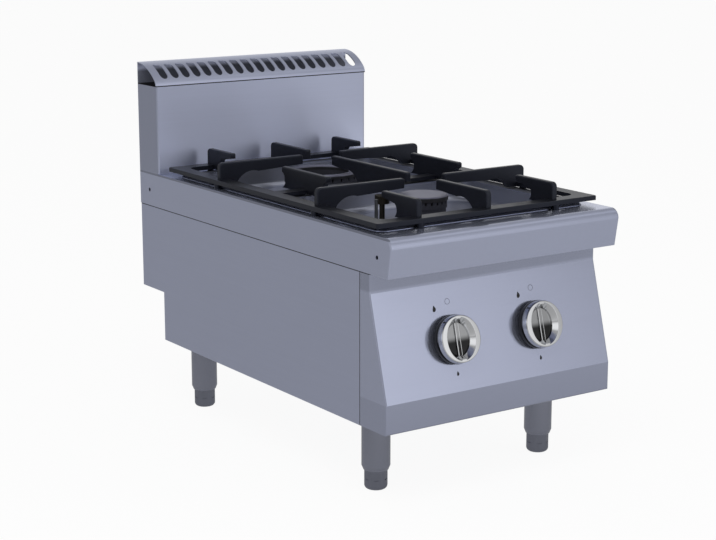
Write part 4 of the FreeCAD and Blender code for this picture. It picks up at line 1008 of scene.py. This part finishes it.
class STOVE_OT_stage(bpy.types.Operator):
    """Lay the floor, hang the lamps and set up the camera"""

    bl_idname = "stove.stage"
    bl_label = "Studio"

    sensor_width = 36.0
    lamp_target = (0.0, 0.0, 0.3)
    key_place = (-1.3, -1.2, 2.4)
    key_size = 1.6
    fill_place = (1.8, -2.2, 1.3)
    fill_size = 1.4
    floor_half = 12.0
    floor_tone = 0.9
    floor_white_share = 0.93
    dome_radius = 9.0
    wall_tone = 0.38
    # Soft lights: direction, upright stretch, inner and outer angle in degrees, brightness
    wall_patches = (
        ((0.33, -0.94, 0.12), 0.4, 4.0, 28.0, 0.54),
        ((0.57, -0.20, 0.79), 1.0, 3.0, 13.0, 0.45),
        ((0.60, 0.78, 0.15), 1.0, 10.0, 32.0, 0.47),
        ((-0.90, -0.25, 0.35), 1.0, 6.0, 20.0, 0.55),
    )
    table_tone = 0.36
    table_front = 0.16
    table_lift = 0.001
    table_near = -1.0
    table_far = -0.2

    def execute(self, context):
        scene = context.scene
        studio = scene.stove_studio
        scene.view_settings.view_transform = "Standard"
        self.add_floor(scene)
        self.add_room(scene, studio)
        self.add_lamp(scene, "key lamp", studio.key, self.key_size, self.key_place)
        self.add_lamp(scene, "fill lamp", studio.fill, self.fill_size, self.fill_place)
        self.add_dome(scene)
        self.add_table(scene)
        data = bpy.data.cameras.new("camera")
        data.lens = studio.lens
        data.sensor_width = self.sensor_width
        camera = bpy.data.objects.new("camera", data)
        camera.location = studio.camera
        camera.rotation_euler = studio.aim
        scene.collection.objects.link(camera)
        scene.camera = camera
        return {"FINISHED"}

    def add_lamp(self, scene, name, power, size, place):
        data = bpy.data.lights.new(name, "AREA")
        data.energy = power
        data.size = size
        lamp = bpy.data.objects.new(name, data)
        lamp.location = place
        aim = Vector(self.lamp_target) - Vector(place)
        lamp.rotation_euler = aim.to_track_quat("-Z", "Y").to_euler()
        lamp.visible_glossy = False
        scene.collection.objects.link(lamp)

    def add_dome(self, scene):
        """Grey studio walls that only show in reflections, with soft lights on them."""
        work = bmesh.new()
        bmesh.ops.create_uvsphere(work, u_segments=48, v_segments=24, radius=self.dome_radius)
        bmesh.ops.reverse_faces(work, faces=work.faces)
        glow = Glow("studio walls")
        tone = self.wall_tone
        for ahead, rise, inner, outer, gain in self.wall_patches:
            aim = Vector(ahead).normalized()
            here = glow.place((1.0, 1.0, rise))
            way = glow.add("ShaderNodeVectorMath", {"operation": "NORMALIZE"}, {0: here}, "Vector")
            near = glow.add("ShaderNodeVectorMath", {"operation": "DOT_PRODUCT"}, {0: way, 1: aim}, "Value")
            patch = near.ease(math.cos(math.radians(outer)), math.cos(math.radians(inner)))
            tone = patch * gain + tone
        glow.shine(tone)
        self.add_flag(scene, "studio walls", work, glow)

    def add_table(self, scene):
        """Grey table that only shows in reflections, lighter in front."""
        work = bmesh.new()
        bmesh.ops.create_grid(work, x_segments=1, y_segments=1, size=self.floor_half)
        bmesh.ops.translate(work, verts=work.verts, vec=(0.0, 0.0, self.table_lift))
        glow = Glow("studio table")
        front = 1.0 - glow.axis(1).ease(self.table_near, self.table_far)
        glow.shine(front * self.table_front + self.table_tone)
        self.add_flag(scene, "studio table", work, glow)

    def add_flag(self, scene, name, work, glow):
        mesh = bpy.data.meshes.new(name)
        work.to_mesh(mesh)
        work.free()
        mesh.materials.append(glow.material)
        flag = bpy.data.objects.new(name, mesh)
        flag.visible_camera = False
        flag.visible_diffuse = False
        flag.visible_shadow = False
        scene.collection.objects.link(flag)

    def add_floor(self, scene):
        """Pale floor that shows white where nothing shades it."""
        mesh = bpy.data.meshes.new("floor")
        half = self.floor_half
        corners = [(-half, -half, 0), (half, -half, 0), (half, half, 0), (-half, half, 0)]
        mesh.from_pydata(corners, [], [(0, 1, 2, 3)])
        material = bpy.data.materials.new("pale floor")
        material.use_nodes = True
        tree = material.node_tree
        tree.nodes.clear()
        matt = tree.nodes.new("ShaderNodeBsdfDiffuse")
        matt.inputs["Color"].default_value = (self.floor_tone, self.floor_tone, self.floor_tone, 1.0)
        white = tree.nodes.new("ShaderNodeEmission")
        seen = self.add_seen(tree)
        most = tree.nodes.new("ShaderNodeMath")
        most.operation = "MULTIPLY"
        most.inputs[1].default_value = self.floor_white_share
        tree.links.new(seen, most.inputs[0])
        mix = tree.nodes.new("ShaderNodeMixShader")
        tree.links.new(most.outputs[0], mix.inputs[0])
        tree.links.new(matt.outputs[0], mix.inputs[1])
        tree.links.new(white.outputs[0], mix.inputs[2])
        output = tree.nodes.new("ShaderNodeOutputMaterial")
        tree.links.new(mix.outputs[0], output.inputs["Surface"])
        mesh.materials.append(material)
        floor = bpy.data.objects.new("floor", mesh)
        scene.collection.objects.link(floor)

    def add_seen(self, tree):
        """One for rays from the camera, from metal and through glass, and nothing for the light itself."""
        path = tree.nodes.new("ShaderNodeLightPath")
        first = tree.nodes.new("ShaderNodeMath")
        first.operation = "MAXIMUM"
        tree.links.new(path.outputs["Is Camera Ray"], first.inputs[0])
        tree.links.new(path.outputs["Is Glossy Ray"], first.inputs[1])
        both = tree.nodes.new("ShaderNodeMath")
        both.operation = "MAXIMUM"
        tree.links.new(first.outputs[0], both.inputs[0])
        tree.links.new(path.outputs["Is Transmission Ray"], both.inputs[1])
        return both.outputs[0]

    def add_room(self, scene, studio):
        """White room to look at, and a plain soft light from all round."""
        world = bpy.data.worlds.new("studio")
        scene.world = world
        world.use_nodes = True
        tree = world.node_tree
        tree.nodes.clear()
        light = tree.nodes.new("ShaderNodeBackground")
        light.inputs["Strength"].default_value = studio.sky
        white = tree.nodes.new("ShaderNodeBackground")
        for node in (light, white):
            node.inputs["Color"].default_value = (1.0, 1.0, 1.0, 1.0)
        mix = tree.nodes.new("ShaderNodeMixShader")
        tree.links.new(self.add_seen(tree), mix.inputs[0])
        tree.links.new(light.outputs[0], mix.inputs[1])
        tree.links.new(white.outputs[0], mix.inputs[2])
        output = tree.nodes.new("ShaderNodeOutputWorld")
        tree.links.new(mix.outputs[0], output.inputs["Surface"])


class STOVE_PT_pieces(bpy.types.Panel):
    """The stove's operators in the sidebar"""

    bl_idname = "STOVE_PT_pieces"
    bl_label = "Countertop gas stove"
    bl_space_type = "VIEW_3D"
    bl_region_type = "UI"
    bl_category = "Stove"

    def draw(self, context):
        for operator in OPERATORS:
            self.layout.operator(operator.bl_idname)
        for group in GROUPS:
            settings = getattr(context.scene, group)
            box = self.layout.box()
            for name in settings.bl_rna.properties.keys():
                if name not in ("rna_type", "name"):
                    box.prop(settings, name)


GROUPS = {"stove_colours": StoveColours, "stove_sizes": StoveSizes, "stove_studio": StoveStudio}
OPERATORS = (
    STOVE_OT_sheets, STOVE_OT_legs, STOVE_OT_grate, STOVE_OT_burners, STOVE_OT_gas_line, STOVE_OT_knobs,
    STOVE_OT_marks, STOVE_OT_screws, STOVE_OT_stage,
)


def register():
    for group, kind in GROUPS.items():
        bpy.utils.register_class(kind)
        setattr(bpy.types.Scene, group, PointerProperty(type=kind))
    for operator in OPERATORS:
        bpy.utils.register_class(operator)
    bpy.utils.register_class(STOVE_PT_pieces)


def unregister():
    bpy.utils.unregister_class(STOVE_PT_pieces)
    for operator in reversed(OPERATORS):
        bpy.utils.unregister_class(operator)
    for group, kind in reversed(GROUPS.items()):
        delattr(bpy.types.Scene, group)
        bpy.utils.unregister_class(kind)


def main():
    register()
    bpy.ops.stove.sheets()
    bpy.ops.stove.legs()
    bpy.ops.stove.grate()
    bpy.ops.stove.burners()
    bpy.ops.stove.gas_line()
    bpy.ops.stove.knobs()
    bpy.ops.stove.marks()
    bpy.ops.stove.screws()
    bpy.ops.stove.stage()


if __name__ == "__main__":
    main()
